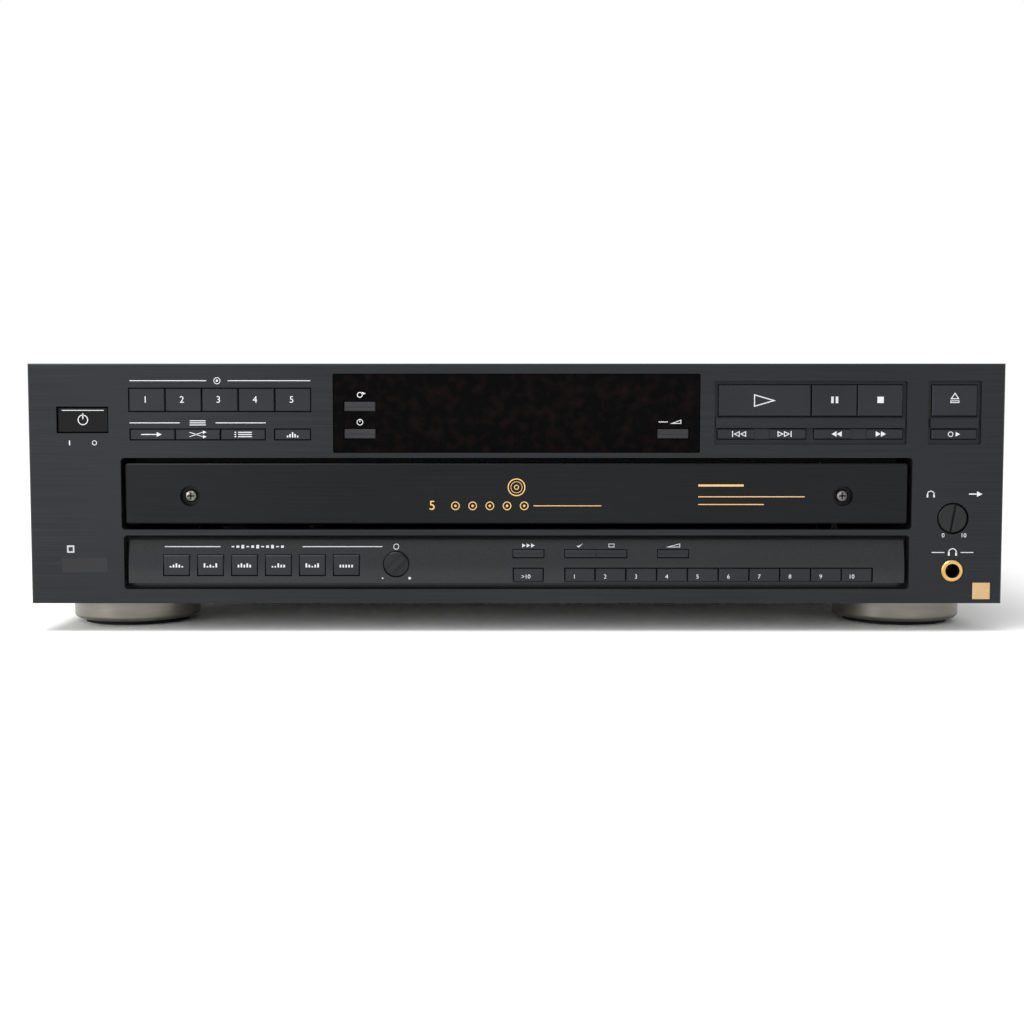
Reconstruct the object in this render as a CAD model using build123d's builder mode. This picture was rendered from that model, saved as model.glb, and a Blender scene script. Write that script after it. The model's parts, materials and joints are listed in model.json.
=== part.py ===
"""Five-disc compact disc changer with a carousel drawer, as a full-size hi-fi component.

Millimetres. +X is to the right seen from the front, +Y to the back, +Z up.
The origin is on the floor, in the middle of the width and of the depth.
"""

import os
from math import atan2, cos, degrees, hypot, pi, radians, sin, sqrt, tan

from build123d import *

os.makedirs("parts", exist_ok=True)

# ---------------------------------------------------------------- driving sizes
width = 430.0
depth = 385.0  # front face to the tips of the sockets
fascia_height = 106.0
fascia_thickness = 8.0
foot_height = 13.0
sheet = 1.2  # steel sheet of the pan and the rear panel
cover_sheet = 1.0
cover_drop = 1.0  # top of the cover below the top of the fascia
cover_hem = 3.0  # bottom edge of the cover above the pan
socket_reach = 8.5
wall_gap = 0.3  # between pieces that pass or face each other

# fascia opening, drawer and strip, as heights above the floor
opening_width = 349.4
opening_low = 45.8
opening_high = 77.6
opening_corner = 1.6
drawer_front_width = 345.6
drawer_front_low = 48.5
drawer_front_high = 75.1
drawer_front_thickness = 6.0
strip_width = 344.0
strip_low = 22.1
strip_high = 43.0
strip_slot_low = 19.3
strip_setback = 4.0  # how far the strip's upper edge lies behind its belly

# carousel
well_count = 5
disc_diameter = 120.0
well_play = 1.0  # a well is this much wider than its disc
well_circle = 104.0  # radius of the circle through the wells' centres
well_depth = 2.6
window_radius = 48.0
table_radius = 165.5
table_thickness = 3.6
drawer_travel = 215.0
gear_module = 2.0
table_teeth = 162
table_pinion_teeth = 20
table_gear_height = 3.0

# drawer tray
tray_half_width = 173.0
tray_bottom = 49.0
tray_floor = 2.0
tray_rim = 62.0
bay_play = 2.0  # table edge to tray wall
tray_front_wall = 2.4
bay_margin = 7.0  # back of the drawer front to the edge of the round bay

# loading gear train
rack_module = 1.5
rack_x = -150.0  # pitch line of the rack
loading_teeth = 24
loading_inset = 47.5  # front face to the axle of the loading gear

# disc drive
lift = 16.0
lift_slope = 0.4  # rise per millimetre of cam travel
sled_travel = 33.0
sled_inner = 25.0  # lens to spindle at the start of a disc
sled_length = 18.0
rod_clear = 2.5  # between the sled at its far end and the lug of its rods
lug = 2.5  # length of a rod's lug
base_gap = 7.0  # between the disc drive and the wall in front of it

front_y = -depth / 2
fascia_back = front_y + fascia_thickness
rear_face = depth / 2 - socket_reach
rear_inner = rear_face - sheet
fascia_low = foot_height
fascia_high = foot_height + fascia_height
pan_top = foot_height + sheet
shell_half = width / 2 - cover_sheet - wall_gap  # half width of what the cover goes over
drawer_wall_front = front_y + drawer_front_thickness
bay_radius = table_radius + bay_play
table_y = drawer_wall_front + bay_margin + bay_radius
play_y = table_y + well_circle  # the disc being played lies here
loading_y = front_y + loading_inset
lens_y = play_y - sled_inner
base_front = lens_y - sled_length / 2 - sled_travel - rod_clear - lug
bay_front = base_front - base_gap  # front face of the wall in front of the disc drive


def front(y):
    """A sketch plane that faces the listener at the depth y: local x is X, local y is Z."""
    return Plane.XZ.offset(-y)


def level(z):
    """A sketch plane that faces up at the height z."""
    return Plane.XY.offset(z)


def bar(x0, x1, y0, y1, z0, z1, mode=Mode.ADD):
    """A straight block between six faces, joined to the part that is being built."""
    with BuildSketch(level(z0)) as outline:
        with Locations(((x0 + x1) / 2, (y0 + y1) / 2)):
            Rectangle(x1 - x0, y1 - y0)
    extrude(outline.sketch, amount=z1 - z0, mode=mode)


def post(x, y, z0, z1, radius, mode=Mode.ADD):
    """An upright round post or, cut away, an upright round hole."""
    with BuildSketch(level(z0)) as outline:
        with Locations((x, y)):
            Circle(radius)
    extrude(outline.sketch, amount=z1 - z0, mode=mode)


def finish(builder, name):
    """Label a finished piece and write its file."""
    builder.part.label = name
    export_step(builder.part, f"parts/{name}.step")


# ---------------------------------------------------------------- places of the controls
# x, z of a control's centre on the fascia, and the size of its cap
power_inset = 23.8  # from the side of the case, as for the other controls in the outer columns
open_inset = 22.1
level_inset = 22.0
phones_inset = 21.9
power_at = (power_inset - width / 2, 94.3)
power_cap = (22.3, 11.1)
disc_keys_at = (-130.6, 103.1)
disc_key_pitch = 16.1
disc_key_cap = (15.6, 10.2)
mode_keys_at = (-140.5, 87.9)
mode_key_pitch = 20.0
mode_key_cap = (19.5, 4.7)
peak_at = (-98.7, 87.9)
peak_cap = (15.8, 4.7)
repeat_at = (-69.0, 100.2)
time_at = (-69.0, 88.2)
edit_at = (69.0, 88.2)
window_key_cap = (13.8, 4.3)
play_at = (109.3, 102.8)
play_cap = (40.6, 13.8)
pause_at = (140.0, 102.8)
pause_cap = (19.8, 13.8)
stop_at = (160.2, 102.8)
skip_at = (108.1, 88.1)
search_at = (150.8, 88.1)
rocker_cap = (39.0, 4.4)
open_at = (width / 2 - open_inset, 102.8)
open_cap = (19.8, 13.6)
disc_skip_at = (open_at[0], 88.0)
disc_skip_cap = (19.8, 4.4)
play_recess_at = (129.5, 97.4)
play_recess = (84.8, 28.0)
open_recess_at = (open_at[0], 97.4)
open_recess = (23.5, 28.0)
recess_depth = 1.4
recess_corner = 0.8
play_bar = (83.2, 4.3)  # bar in the recess, between the large caps and the narrow ones
open_bar = (21.1, 4.3)
play_bar_z = 92.9
open_bar_z = 92.8
level_at = (width / 2 - level_inset, 50.8)
level_radius = 6.4
level_well_radius = 7.0
knob_well_depth = 5.0
shaft_hole = 3.4  # radius, for the shaft of either knob
phones_at = (width / 2 - phones_inset, 27.5)
phones_bore = 3.2
phones_ring = 4.8
sound_at = (-150.8, 29.9)
sound_count = 6
sound_pitch = 15.06
sound_cap = (11.4, 9.0)
effect_at = (-53.4, 30.4)
effect_radius = 5.5
effect_well_play = 0.4
small_key_cap = (13.6, 3.4)
scan_at = (5.3, 35.0)
check_at = (35.2, 35.0)
check_cap = (27.4, 3.4)
rocker_stem = 13.0  # a rocker's two stems, from its middle
check_stem = 9.0
fader_at = (69.5, 35.0)
number_pitch = 13.67
number_first = 28.1
number_count = 10
ten_x = 5.2
number_cap = (13.3, 6.0)
number_z = 25.6
window_at = (0.0, 97.2)
window_size = (161.8, 34.8)
window_thickness = 3.0

key_gap = 0.3  # around a single cap
pane_corner = 0.8
key_travel = 1.0
power_travel = 3.0
key_lip = 1.4  # how far a key's lip reaches past its hole, above and below
lip_thickness = 1.2
switch_height = 3.5
switch_gap = 0.5  # free travel before a switch is pressed
board_thickness = 1.6
board_y = fascia_back + 12.5  # front face of the two boards behind the controls
key_back = board_y - switch_height - key_travel - switch_gap
bosses = [(-175.2, 105.0), (-86.2, 100.0), (85.6, 104.0), (176.4, 104.0), (width / 2 - 33.0, 66.0)]
strip_bosses = [(-165.0, 38.0), (-20.0, 30.0), (165.0, 38.0)]
boss_radius = 2.1  # of the bosses that carry the two boards

# ---------------------------------------------------------------- front panel
def row_hole(at, cap, pitch, count):
    """Centre and size of one slot that holds a row of caps side by side."""
    return at, (pitch * (count - 1) + cap[0], cap[1])


play_row_left = play_at[0] - play_cap[0] / 2
play_row_right = stop_at[0] + pause_cap[0] / 2
play_row = ((play_row_left + play_row_right) / 2, play_at[1]), (play_row_right - play_row_left, play_cap[1])
fascia_holes = [
    (power_at, power_cap),
    row_hole(disc_keys_at, disc_key_cap, disc_key_pitch, 5),
    row_hole(mode_keys_at, mode_key_cap, mode_key_pitch, 3),
    (peak_at, peak_cap),
    play_row,
    (skip_at, rocker_cap),
    (search_at, rocker_cap),
    (open_at, open_cap),
    (disc_skip_at, disc_skip_cap),
]
fascia_edge = 0.6
strip_slot_width = opening_width - 1.6
opening_mid = (opening_low + opening_high) / 2
slot_mid = (strip_slot_low + strip_high + key_gap) / 2
slot_height = strip_high + key_gap - strip_slot_low

with BuildPart() as front_panel:
    with BuildSketch(front(fascia_back)):
        with Locations((0, fascia_low + fascia_height / 2)):
            Rectangle(width, fascia_height)
    extrude(amount=fascia_thickness)
    chamfer(front_panel.faces().sort_by(Axis.Y)[0].edges(), fascia_edge)
    with BuildSketch(front(fascia_back)):
        with Locations((0, opening_mid)):
            RectangleRounded(opening_width, opening_high - opening_low, opening_corner)
        with Locations((0, slot_mid)):
            RectangleRounded(strip_slot_width, slot_height, opening_corner)
        with Locations(window_at):
            RectangleRounded(*window_size, pane_corner)
    extrude(amount=fascia_thickness, mode=Mode.SUBTRACT)
    with BuildSketch(front(front_y + recess_depth)):
        with Locations(play_recess_at):
            RectangleRounded(*play_recess, recess_corner)
        with Locations(open_recess_at):
            RectangleRounded(*open_recess, recess_corner)
    extrude(amount=recess_depth, mode=Mode.SUBTRACT)
    # bars that stand in the recesses between the large caps and the narrow ones
    with BuildSketch(front(front_y + recess_depth)):
        with Locations((play_recess_at[0], play_bar_z)):
            Rectangle(*play_bar)
        with Locations((open_recess_at[0], open_bar_z)):
            Rectangle(*open_bar)
    extrude(amount=recess_depth)
    with BuildSketch(front(fascia_back)):
        for at, size in fascia_holes:
            with Locations(at):
                Rectangle(size[0] + 2 * key_gap, size[1] + 2 * key_gap)
        with Locations(phones_at):
            Circle(phones_ring + key_gap)
        with Locations(level_at):
            Circle(shaft_hole)
    extrude(amount=fascia_thickness, mode=Mode.SUBTRACT)
    with BuildSketch(front(front_y + knob_well_depth)):
        with Locations(level_at):
            Circle(level_well_radius)
    extrude(amount=knob_well_depth, mode=Mode.SUBTRACT)
    with BuildSketch(front(board_y)):
        for place in bosses:
            with Locations(place):
                Circle(boss_radius)
    extrude(amount=board_y - fascia_back)
finish(front_panel, "front_panel")

# ---------------------------------------------------------------- control strip
strip_flange = 2.0
strip_back = fascia_back + strip_flange
number_left = number_first - number_cap[0] / 2
number_right = number_first + number_pitch * (number_count - 1) + number_cap[0] / 2
number_row_x = (number_left + number_right) / 2
stem_height = 4.0
strip_belly = 0.9  # how far the strip's front lies behind the fascia at half height, and at its foot
strip_foot = 0.5
flange_reach = 2.0  # past the opening on each side
flange_drop = 3.0
flange_top_gap = 0.8  # below the drawer's opening
with BuildPart() as control_strip:
    with BuildSketch(Plane.YZ.offset(-strip_width / 2)):
        with BuildLine():
            ThreePointArc(
                (front_y + strip_setback, strip_high),
                (front_y + strip_belly, (strip_low + strip_high) / 2),
                (front_y + strip_foot, strip_low),
            )
            Line((front_y + strip_foot, strip_low), (fascia_back, strip_low))
            Line((fascia_back, strip_low), (fascia_back, strip_high))
            Line((fascia_back, strip_high), (front_y + strip_setback, strip_high))
        make_face()
    extrude(amount=strip_width)
    bar(
        -opening_width / 2 - flange_reach, opening_width / 2 + flange_reach, fascia_back, strip_back,
        strip_slot_low - flange_drop, opening_low - flange_top_gap,
    )
    with BuildSketch(front(strip_back)):
        for i in range(sound_count):
            with Locations((sound_at[0] + i * sound_pitch, sound_at[1])):
                Rectangle(sound_cap[0] + 2 * key_gap, sound_cap[1] + 2 * key_gap)
        for at, size in ((scan_at, small_key_cap), (check_at, check_cap), (fader_at, small_key_cap)):
            with Locations(at):
                Rectangle(size[0] + 2 * key_gap, size[1] + 2 * key_gap)
        with Locations(effect_at):
            Circle(shaft_hole)
        for x, long in ((ten_x, number_cap[0]), (number_row_x, number_right - number_left)):
            with Locations((x, number_z)):
                Rectangle(long + 2 * key_gap, stem_height + 2 * key_gap)
    extrude(amount=fascia_thickness + strip_flange, mode=Mode.SUBTRACT)
    with BuildSketch(front(front_y + knob_well_depth)):
        with Locations(effect_at):
            Circle(effect_radius + effect_well_play)
    extrude(amount=knob_well_depth, mode=Mode.SUBTRACT)
    # the number keys' slots run out through the lower edge of the strip
    number_top = number_z + number_cap[1] / 2 + key_gap
    for x, long in ((ten_x, number_cap[0]), (number_row_x, number_right - number_left)):
        bar(
            x - long / 2 - key_gap, x + long / 2 + key_gap, front_y - 1, fascia_back,
            strip_low - 1, number_top, mode=Mode.SUBTRACT,
        )
    with BuildSketch(front(board_y)):
        for place in strip_bosses:
            with Locations(place):
                Circle(boss_radius)
    extrude(amount=board_y - strip_back)
finish(control_strip, "control_strip")

# ---------------------------------------------------------------- display window
window_clear = 0.2
window_lip = 1.2
window_setback = 0.6  # face of the pane behind the face of the panel
lip_reach = (2.0, 1.5)  # of the pane's flange behind the panel
tube = (100.0, 24.0)  # display tube
tube_play = 2.0
tube_reach = 2.4  # into the hollow of the pane
pane_width = window_size[0] - 2 * window_clear
pane_height = window_size[1] - 2 * window_clear
with BuildPart() as display_window:
    with BuildSketch(front(fascia_back)):
        with Locations(window_at):
            RectangleRounded(pane_width, pane_height, pane_corner)
    extrude(amount=fascia_thickness - window_setback)
    with BuildSketch(front(fascia_back + window_lip)):
        with Locations(window_at):
            Rectangle(window_size[0] + 2 * lip_reach[0], window_size[1] + 2 * lip_reach[1])
    extrude(amount=window_lip)
    with BuildSketch(front(fascia_back + window_lip)):
        for at in (repeat_at, time_at, edit_at):
            with Locations(at):
                Rectangle(window_key_cap[0] + 2 * key_gap, window_key_cap[1] + 2 * key_gap)
    extrude(amount=fascia_thickness + window_lip, mode=Mode.SUBTRACT)
    # behind the glass the pane is hollowed out for the display
    with BuildSketch(front(fascia_back + window_lip)):
        with Locations(window_at):
            Rectangle(tube[0] + 2 * tube_play, tube[1] + tube_play)
    extrude(amount=fascia_thickness + window_lip - window_setback - window_thickness, mode=Mode.SUBTRACT)
finish(display_window, "display_window")

# ---------------------------------------------------------------- pan, cover, rear panel
pan_front = strip_back + 0.2
pan_side = 22.0
pan_rear_flange = 8.0
rib_x = 95.0
rib_half = 5.0
rib_rise = 2.0
rib_front = front_y + 34.5
rib_long = 160.0
pan_slots_y = play_y + 3.0
pan_slots_x = shell_half - 63.7
pan_slot = (44.0, 3.0)
pan_slot_pitch = 8.0
pan_slot_count = 7
with BuildPart() as chassis_pan:
    bar(-shell_half, shell_half, pan_front, rear_inner, foot_height, pan_top)
    for side in (-1, 1):
        inner = side * (shell_half - sheet)
        outer = side * shell_half
        bar(min(inner, outer), max(inner, outer), pan_front, rear_inner, pan_top, pan_top + pan_side)
    bar(-shell_half, shell_half, rear_inner - sheet, rear_inner, pan_top, pan_top + pan_rear_flange)
    # two stiffening ribs pressed up along the floor
    for x in (-rib_x, rib_x):
        with BuildSketch(front(rib_front)):
            with BuildLine():
                ThreePointArc((x - rib_half, pan_top), (x, pan_top + rib_rise), (x + rib_half, pan_top))
                Line((x + rib_half, pan_top), (x - rib_half, pan_top))
            make_face()
        extrude(amount=-rib_long)
    # cooling slots under the boards
    with BuildSketch(level(foot_height)):
        for x in (-pan_slots_x, pan_slots_x):
            with Locations((x, pan_slots_y)):
                with GridLocations(pan_slot_pitch, 0, pan_slot_count, 1):
                    SlotOverall(*pan_slot, rotation=90)
    extrude(amount=sheet, mode=Mode.SUBTRACT)
finish(chassis_pan, "chassis_pan")

cover_top = fascia_high - cover_drop
cover_front = fascia_back + wall_gap
cover_bend = 2.0
vent_x = shell_half - 83.7
vent_y = play_y + 18.0
vent = (70.0, 3.2)
vent_pitch = 9.0
vent_count = 12
with BuildPart() as top_cover:
    bar(-width / 2, width / 2, cover_front, rear_face, foot_height + cover_hem, cover_top)
    fillet(top_cover.edges().filter_by(Axis.Y).group_by(Axis.Z)[-1], cover_bend)
    bar(
        -width / 2 + cover_sheet, width / 2 - cover_sheet, cover_front - 1, rear_face + 1,
        foot_height + cover_hem - 1, cover_top - cover_sheet, mode=Mode.SUBTRACT,
    )
    # vent slots in the top, over the boards
    with BuildSketch(level(cover_top - cover_sheet)):
        for x in (-vent_x, vent_x):
            with Locations((x, vent_y)):
                with GridLocations(vent_pitch, 0, vent_count, 1):
                    SlotOverall(*vent, rotation=90)
    extrude(amount=cover_sheet, mode=Mode.SUBTRACT)
finish(top_cover, "top_cover")

jack_pitch = 14.0
line_jacks_at = (43.7 - shell_half, 78.0)
control_jacks_at = (line_jacks_at[0] + 50.0, 78.0)
inlet_at = (shell_half - 38.7, 45.0)
rear_slots_at = (95.0, 70.0)
rear_slot = (24.0, 2.6)
rear_slot_pitch = (7.0, 30.0)
rear_slot_counts = (9, 2)
inlet_size = (19.0, 12.0)
jack_radius = 4.2
jack_bore = 1.7
jack_bore_depth = 12.5
inlet_pin = 1.2
socket_play = 0.2
moulding_depth = 3.0  # jack blocks stand this far out of the rear panel
jack_block = (44.0, 32.0)
block_back = rear_inner - 12.0
block_hole = (jack_block[0] + 2 * socket_play, jack_block[1] + 2 * socket_play)
inlet_hole = (inlet_size[0] + 2 * socket_play, inlet_size[1] + 2 * socket_play)
rear_flange = 2.0  # of the socket mouldings, behind the panel
inlet_proud = 1.0
inlet_long = 18.0
inlet_socket = (15.6, 8.6)
inlet_deep = 13.0
inlet_pin_pitch = 7.6
inlet_pin_long = 11.0


def jack_places(at):
    """Centres of the four jacks of one block."""
    half = jack_pitch / 2
    return [(at[0] + i * half, at[1] + j * half) for i in (-1, 1) for j in (-1, 1)]


with BuildPart() as rear_panel:
    panel_top = cover_top - cover_sheet - socket_play
    with BuildSketch(front(rear_face)):
        with Locations((0, (foot_height + panel_top) / 2)):
            Rectangle(2 * shell_half, panel_top - foot_height)
        for at in (line_jacks_at, control_jacks_at):
            with Locations(at):
                Rectangle(*block_hole, mode=Mode.SUBTRACT)
        with Locations(inlet_at):
            Rectangle(*inlet_hole, mode=Mode.SUBTRACT)
        with Locations(rear_slots_at):
            with GridLocations(*rear_slot_pitch, *rear_slot_counts):
                SlotOverall(*rear_slot, rotation=90, mode=Mode.SUBTRACT)
    extrude(amount=sheet)
finish(rear_panel, "rear_panel")

with BuildPart() as rear_sockets:
    for at in (line_jacks_at, control_jacks_at):
        with BuildSketch(front(rear_face + moulding_depth)):
            with Locations(at):
                Rectangle(*jack_block)
        extrude(amount=moulding_depth + rear_face - block_back)
        with BuildSketch(front(rear_inner)):
            with Locations(at):
                Rectangle(jack_block[0] + 2 * rear_flange, jack_block[1] + 2 * rear_flange)
        extrude(amount=rear_flange)
        with BuildSketch(front(depth / 2)):
            for place in jack_places(at):
                with Locations(place):
                    Circle(jack_radius)
        extrude(amount=socket_reach)
        with BuildSketch(front(depth / 2)):
            for place in jack_places(at):
                with Locations(place):
                    Circle(jack_bore)
        extrude(amount=jack_bore_depth, mode=Mode.SUBTRACT)
    # two-pin mains inlet
    with BuildSketch(front(rear_face + inlet_proud)):
        with Locations(inlet_at):
            Rectangle(*inlet_size)
    extrude(amount=inlet_long)
    with BuildSketch(front(rear_inner)):
        with Locations(inlet_at):
            Rectangle(inlet_size[0] + 2 * rear_flange, inlet_size[1] + 2 * rear_flange)
    extrude(amount=rear_flange)
    with BuildSketch(front(rear_face + inlet_proud)):
        with Locations(inlet_at):
            SlotOverall(*inlet_socket)
    extrude(amount=inlet_deep, mode=Mode.SUBTRACT)
    with BuildSketch(front(rear_face + inlet_proud - inlet_deep + inlet_pin_long)):
        with Locations(inlet_at):
            with GridLocations(inlet_pin_pitch, 0, 2, 1):
                Circle(inlet_pin)
    extrude(amount=inlet_pin_long)
finish(rear_sockets, "rear_sockets")

# ---------------------------------------------------------------- feet
foot_radius = 29.0
foot_x = 180.0
foot_inset = 47.0  # fascia front to the middle of a front foot
rear_foot_inset = 52.0
pad_radius = 24.0
pad_height = 2.0
foot_round = 2.0
front_foot_y = front_y + foot_inset
rear_foot_y = rear_face - rear_foot_inset
with BuildPart() as feet:
    for x in (-foot_x, foot_x):
        for y in (front_foot_y, rear_foot_y):
            with BuildSketch(front(y)):
                with BuildLine():
                    Polyline(
                        (x, 0), (x + pad_radius, 0), (x + pad_radius, pad_height),
                        (x + foot_radius - foot_round, pad_height),
                    )
                    RadiusArc(
                        (x + foot_radius - foot_round, pad_height),
                        (x + foot_radius, pad_height + foot_round), -foot_round,
                    )
                    Polyline(
                        (x + foot_radius, pad_height + foot_round),
                        (x + foot_radius, foot_height), (x, foot_height), (x, 0),
                    )
                make_face()
            revolve(axis=Axis((x, y, 0), (0, 0, 1)))
finish(feet, "feet")

# ---------------------------------------------------------------- headphone jack
ring_proud = 0.5
ring_edge = 0.4
phones_depth = 20.0
phones_body = 14.0
with BuildPart() as headphone_jack:
    with BuildSketch(front(board_y)):
        with Locations(phones_at):
            Rectangle(phones_body, phones_body)
    extrude(amount=board_y - fascia_back)
    with BuildSketch(front(fascia_back)):
        with Locations(phones_at):
            Circle(phones_ring)
    extrude(amount=fascia_thickness + ring_proud)
    chamfer(headphone_jack.faces().sort_by(Axis.Y)[0].outer_wire().edges(), ring_edge)
    with BuildSketch(front(front_y - ring_proud)):
        with Locations(phones_at):
            Circle(phones_bore)
    extrude(amount=-phones_depth, mode=Mode.SUBTRACT)
finish(headphone_jack, "headphone_jack")

# ---------------------------------------------------------------- circuit boards
board_side = width / 2 - 9.0
upper_board = (-board_side, board_side, 79.5, 115.5)  # x, x, z, z
arm_board = (board_side - 27.5, board_side, 17.0, 79.5)
lower_board = (-strip_width / 2, strip_width / 2, 17.0, 44.0)
main_board_inset = (43.0, 6.8)  # from the pan's left side and from the rear panel
main_board_size = (105.0, 156.0)
main_board_low = pan_top + 5.0
board_top = main_board_low + board_thickness
standoff_inset = 8.0
standoff_radius = 3.0
switch_body = (4.6, 4.0)
switch_body_depth = 2.0
control_body_depth = 2.5  # of the power switch and of the two controls behind the knobs
power_switch = (14.0, 10.0)
level_body = 12.0
effect_body = 11.0
# parts on the main board, from its left rear corner: x, y, then radius and height or width, length, height
capacitors = [(13, -26, 8, 19), (33, -26, 8, 19), (51, -22, 6, 16), (71, -24, 5, 12)]
heat_sink = (11, -58, 42, 3, 20)
chips = [(61, -86, 20, 20, 3), (76, -126, 16, 30, 3), (16, -116, 28, 10, 3), (41, -141, 14, 14, 3)]


def key_switches():
    """Places of the push switches, one behind each key."""
    places = [repeat_at, time_at, edit_at, play_at, pause_at, stop_at, peak_at, open_at, disc_skip_at]
    places += [(disc_keys_at[0] + i * disc_key_pitch, disc_keys_at[1]) for i in range(-2, 3)]
    places += [(mode_keys_at[0] + i * mode_key_pitch, mode_keys_at[1]) for i in range(-1, 2)]
    for at, half in ((skip_at, rocker_stem), (search_at, rocker_stem), (check_at, check_stem)):
        places += [(at[0] - half, at[1]), (at[0] + half, at[1])]
    places += [scan_at, fader_at]
    places += [(sound_at[0] + i * sound_pitch, sound_at[1]) for i in range(sound_count)]
    places += [(ten_x, number_z)]
    places += [(number_first + i * number_pitch, number_z) for i in range(number_count)]
    return places


with BuildPart() as circuit_boards:
    for x0, x1, z0, z1 in (upper_board, arm_board, lower_board):
        bar(x0, x1, board_y, board_y + board_thickness, z0, z1)
    with BuildSketch(front(board_y)):
        for place in key_switches():
            with Locations(place):
                Rectangle(*switch_body)
    extrude(amount=switch_body_depth)
    # power switch, the two controls behind the knobs, and the display tube
    with BuildSketch(front(board_y)):
        with Locations(power_at):
            Rectangle(*power_switch)
        with Locations(level_at):
            Rectangle(level_body, level_body)
        with Locations(effect_at):
            Rectangle(effect_body, effect_body)
    extrude(amount=control_body_depth)
    with BuildSketch(front(board_y)):
        with Locations(window_at):
            Rectangle(*tube)
    extrude(amount=board_y - fascia_back + tube_reach)
    # main board on its stand-offs, with its tall parts
    left = main_board_inset[0] - shell_half
    right = left + main_board_size[0]
    rear = rear_inner - main_board_inset[1]
    near = rear - main_board_size[1]
    bar(left, right, near, rear, main_board_low, board_top)
    for x in (left + standoff_inset, right - standoff_inset):
        for y in (near + standoff_inset, rear - standoff_inset):
            post(x, y, pan_top, main_board_low, standoff_radius)
    for x, y, radius, tall in capacitors:
        post(left + x, rear + y, board_top, board_top + tall, radius)
    for x, y, wide, long, tall in [heat_sink] + chips:
        bar(left + x, left + x + wide, rear + y, rear + y + long, board_top, board_top + tall)
finish(circuit_boards, "circuit_boards")

# ---------------------------------------------------------------- transformer
core = (66.0, 26.0, 24.0)  # long, wide, tall
transformer_at = (shell_half - 83.7, rear_inner - 54.8)
coil = (40.0, 44.0, 18.0)
strap = (84.0, 12.0, 1.0)
strap_hole = 1.8
strap_hole_x = 38.0
with BuildPart() as power_transformer:
    x, y = transformer_at
    seat = pan_top + strap[2]
    bar(x - core[0] / 2, x + core[0] / 2, y - core[1] / 2, y + core[1] / 2, seat, seat + core[2])
    coil_low = seat + (core[2] - coil[2]) / 2
    bar(x - coil[0] / 2, x + coil[0] / 2, y - coil[1] / 2, y + coil[1] / 2, coil_low, coil_low + coil[2])
    bar(x - strap[0] / 2, x + strap[0] / 2, y - strap[1] / 2, y + strap[1] / 2, pan_top, seat)
    for side in (-1, 1):
        post(x + side * strap_hole_x, y, pan_top, seat, strap_hole, mode=Mode.SUBTRACT)
finish(power_transformer, "power_transformer")

# ---------------------------------------------------------------- keys and knobs
key_edge = 0.35
stem = (5.0, 3.0)
ridge_height = 1.3
ridge_proud = 0.5


def key_block(at, cap, face, seat, travel=key_travel, lip_width=None, stems=(0.0,), ridge=False):
    """A key's cap with the lip that keeps it in and the stems that press its switches."""
    back = seat + wall_gap + lip_thickness
    with BuildSketch(front(back)) as outline:
        with Locations(at):
            Rectangle(*cap)
    block = extrude(outline.sketch, amount=back - face)
    chamfer(block.faces().sort_by(Axis.Y)[0].edges(), key_edge)
    with BuildSketch(front(back)) as lips:
        with Locations(at):
            Rectangle(lip_width or cap[0], cap[1] + 2 * key_lip)
    extrude(lips.sketch, amount=lip_thickness)
    tip = board_y - switch_height - travel - switch_gap
    with BuildSketch(front(tip)) as ends:
        for x in stems:
            with Locations((at[0] + x, at[1])):
                Rectangle(*stem)
    extrude(ends.sketch, amount=tip - back)
    if ridge:
        with BuildSketch(front(face)) as rib:
            with Locations((at[0], at[1] - cap[1] / 2 + key_edge + ridge_height / 2)):
                Rectangle(cap[0] - 2 * key_edge, ridge_height)
        extrude(rib.sketch, amount=ridge_proud)


fascia_face = front_y + 0.2
strip_face = front_y + 0.35
low_face = front_y + 0.9  # of the power button and the ridged keys on the strip
pane_key_face = front_y + 0.6
pane_back = fascia_back + window_lip
rocker_lip = 8.0
rocker_web = (7.0, 0.5)  # wide, and how far it lies behind the two ends
check_lip = 6.0
check_split = 0.5

with BuildPart() as power_button:
    key_block(power_at, power_cap, low_face, fascia_back, travel=power_travel)
finish(power_button, "power_button")

for i in range(5):
    with BuildPart() as disc_key:
        place = (disc_keys_at[0] + (i - 2) * disc_key_pitch, disc_keys_at[1])
        key_block(place, disc_key_cap, fascia_face, fascia_back)
    finish(disc_key, f"disc_key_{i + 1}")

for i in range(3):
    with BuildPart() as mode_key:
        place = (mode_keys_at[0] + (i - 1) * mode_key_pitch, mode_keys_at[1])
        key_block(place, mode_key_cap, fascia_face, fascia_back)
    finish(mode_key, f"play_mode_key_{i + 1}")

for name, at, cap in (
    ("peak_search_key", peak_at, peak_cap),
    ("play_key", play_at, play_cap),
    ("pause_key", pause_at, pause_cap),
    ("stop_key", stop_at, pause_cap),
    ("open_close_key", open_at, open_cap),
    ("disc_skip_key", disc_skip_at, disc_skip_cap),
):
    with BuildPart() as fascia_key:
        key_block(at, cap, fascia_face, fascia_back)
    finish(fascia_key, name)

for name, at in (("repeat_key", repeat_at), ("time_key", time_at), ("edit_key", edit_at)):
    with BuildPart() as window_key:
        key_block(at, window_key_cap, pane_key_face, pane_back, ridge=True)
    finish(window_key, name)

for name, at in (("track_skip_rocker", skip_at), ("search_rocker", search_at)):
    with BuildPart() as rocker:
        key_block(
            at, rocker_cap, fascia_face, fascia_back,
            lip_width=rocker_lip, stems=(-rocker_stem, rocker_stem),
        )
        # the web between its two ends lies a little lower
        with BuildSketch(front(fascia_face + rocker_web[1])):
            with Locations(at):
                Rectangle(rocker_web[0], rocker_cap[1])
        extrude(amount=rocker_web[1], mode=Mode.SUBTRACT)
    finish(rocker, name)

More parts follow.
